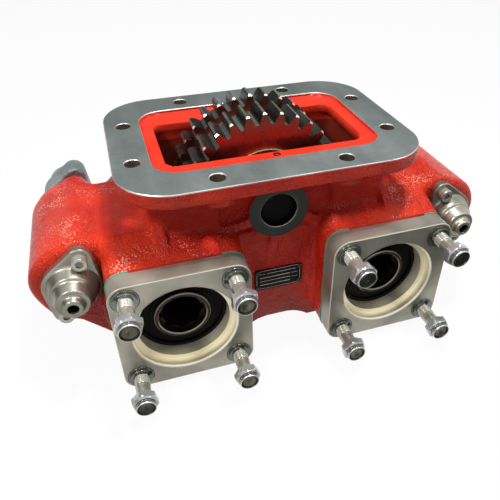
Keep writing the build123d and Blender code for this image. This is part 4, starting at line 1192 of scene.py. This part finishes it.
@dataclass
class Studio:
    """Camera of the photograph, pale floor, white surroundings and soft lamps."""

    frame: float = 500.0
    sensor: float = 36.0
    focal: float = 520.1
    middle: Pair = (268.8, 240.9)
    eye: Triple = (-113.14, -384.27, 177.79)
    azimuth: float = -18.03
    elevation: float = 36.34
    floor: float = -172.0

    def build(self) -> None:
        """Makes the camera, the floor, the world and the lamps."""
        self.build_camera()
        self.build_floor()
        self.build_world()
        self.build_cards()
        self.build_lamps()

    def build_camera(self) -> None:
        """Camera that was fitted to the photograph, in a square frame."""
        lens = bpy.data.cameras.new("camera")
        lens.sensor_width = self.sensor
        lens.lens = self.focal / self.frame * self.sensor
        lens.shift_x = (self.frame / 2 - self.middle[0]) / self.frame
        lens.shift_y = (self.middle[1] - self.frame / 2) / self.frame
        lens.clip_start, lens.clip_end = 0.01, 20.0
        camera = linked("camera", lens)
        turn, tilt = math.radians(self.azimuth), math.radians(self.elevation)
        back = Vector((math.sin(turn) * math.cos(tilt), -math.cos(turn) * math.cos(tilt), math.sin(tilt)))
        aim(camera, Vector(self.eye) * METRES, -back)
        bpy.context.scene.camera = camera

    def build_floor(self) -> None:
        """Pale floor under the feet, white to the camera and keeping a soft shadow."""
        made, wires = new_material("floor_white")
        shader = made.node_tree.nodes["Principled BSDF"]
        shader.inputs["Roughness"].default_value = 0.9
        tone = wires.mix(wires.node("ShaderNodeLightPath").outputs["Is Camera Ray"], (0.4,) * 3, (0.95,) * 3)
        wires.put(tone, shader.inputs["Base Color"])
        glow = wires.node("ShaderNodeEmission", Strength=1.0)
        wires.show(wires.times(wires.seen(), 0.94), shader, glow, "Material Output")
        size, z = 3.0, (self.floor - 0.3) * METRES
        floor = quad("floor", [(-size, -size, z), (size, -size, z), (size, size, z), (-size, size, z)], made)

    def build_world(self) -> None:
        """White world to camera, mirrors and glass, and a plain light on the object."""
        world = bpy.data.worlds.new("studio")
        bpy.context.scene.world = world
        world.use_nodes = True
        wires = Wiring(world.node_tree)
        light, white = [wires.node("ShaderNodeBackground", Color=(1, 1, 1, 1), Strength=v) for v in (0.14, 1.0)]
        wires.show(wires.seen(), light, white, "World Output")

    def build_cards(self) -> None:
        """Dark cards behind, beside and before the object, seen only by its reflections."""
        cards = (("low_card", 0.1, [(-1.6, 1.0, 0.0), (1.6, 1.0, 0.0), (1.6, 0.93, 0.62), (-1.6, 0.93, 0.62)]),
                 ("high_card", 0.3, [(-1.6, 0.93, 0.62), (1.6, 0.93, 0.62), (1.6, 0.7, 1.5), (-1.6, 0.7, 1.5)]),
                 ("left_card", 0.05, [(-1.3, -0.5, -0.1), (-1.3, 0.8, -0.1), (-1.1, 0.8, 0.6), (-1.1, -0.5, 0.6)]),
                 ("front_card", 0.12, [(-0.02, -0.9, -0.17), (0.9, -0.9, -0.17), (0.9, -0.15, -0.17),
                                       (-0.02, -0.15, -0.17)]))
        for name, strength, corners in cards:
            made, wires = new_material(f"{name}_grey")
            glow = wires.node("ShaderNodeEmission", Color=(0.85, 1.0, 0.97, 1), Strength=strength)
            wires.put(glow.outputs[0], made.node_tree.nodes["Material Output"].inputs["Surface"])
            card = quad(name, corners, made)
            card.visible_camera = card.visible_diffuse = card.visible_shadow = False

    def build_lamps(self) -> None:
        """Soft lamps: one above, a key from the left front, a low fill and a small one for glints."""
        lamps = (("top", (0.1, 0.0, 0.9), (0, 0, 0), 0.22, 6.5),
                 ("key", (-0.75, -0.4, 0.9), (0, 0, -0.08), 0.2, 7.0),
                 ("fill", (0.75, -0.3, 0.8), (0, 0, -0.1), 0.3, 2.0),
                 ("spark", (0.15, -0.1, 0.9), (0, 0, -0.05), 0.03, 2.5))
        for name, place, target, size, power in lamps:
            data = bpy.data.lights.new(name, "AREA")
            data.size, data.energy = size, power
            aim(linked(name, data), place, Vector(target) - Vector(place))


SOLID_LOOKS = {
    "cast_red_paint": ("housing",), "plate_black": ("nameplate",), "boss_iron": ("nameplate_rivets",),
    "input_gear_steel": ("input_gear",), "bronze_washer": ("thrust_washer_front", "thrust_washer_rear"),
    "black_oxide": ("input_spindle", "spindle_pin", "shaft_clip", "return_spring"),
    "bearing_steel": ("input_bearing_front", "input_bearing_rear", "front_bearing", "rear_bearing", "gear_bearing"),
    "milled_aluminium": ("output_flange", "piston"), "green_gasket": ("flange_gasket",),
    "zinc_stud": ("flange_studs", "cover_screws"), "bright_zinc": ("stud_nuts",),
    "zinc_washer": ("flat_washers", "spring_washers"), "shaft_steel": ("output_shaft",),
    "seal_rubber": ("shaft_seal", "piston_seal"), "ground_steel": ("gear_spacer", "piston_rod"),
    "gear_steel": ("output_gear", "clutch_sleeve"), "fork_iron": ("shift_fork",),
    "cast_aluminium": ("air_cover",), "cap_metal": ("rear_cap",),
}


def dress_solids(frame: dict, finishes: Materials) -> None:
    """Gives every solid of the frame its finish, which a node of either output finds without its side.

    Args:
        frame: what the loader returned.
        finishes: materials by name.
    """
    looks = {node: finish for finish, nodes in SOLID_LOOKS.items() for node in nodes}
    for name, thing in frame["nodes"].items():
        thing.data.materials.clear()
        thing.data.materials.append(finishes[looks[name.removeprefix("left_").removeprefix("right_")]])


def make_springs(frame: dict, finishes: Materials) -> None:
    """Makes copies of the return springs, hung on the housing in place of their solids.

    Args:
        frame: what the loader returned.
        finishes: materials by name.
    """
    for side, _ in SIDES:
        solid = frame["nodes"][f"{side}_return_spring"]
        spring = linked(f"{side}_spring_coil", solid.data.copy())
        spring.data.materials.clear()
        spring.data.materials.append(finishes["black_oxide"])
        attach(spring, "housing")
        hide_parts(solid.name)
        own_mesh(spring)
        log.info("%s: %d faces on housing", spring.name, len(spring.data.polygons))


def main() -> None:
    """Builds the finishes, the pieces and the studio in order."""
    logging.basicConfig(level=logging.INFO, format="%(name)s %(message)s")
    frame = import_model()
    bpy.context.scene.view_settings.view_transform = "Standard"
    effects = Effects()
    finishes = {finish.name: finish.material(effects) for finish in FINISHES}
    dress_solids(frame, finishes)
    Casting().build(finishes)
    Nameplate().build(finishes)
    for side, sign in SIDES:
        Fasteners(side, sign).build(finishes)
        AirCover(side, sign).build(finishes)
        RearCover(side, sign).build(finishes)
    make_springs(frame, finishes)
    Studio().build()


if __name__ == "__main__":
    main()
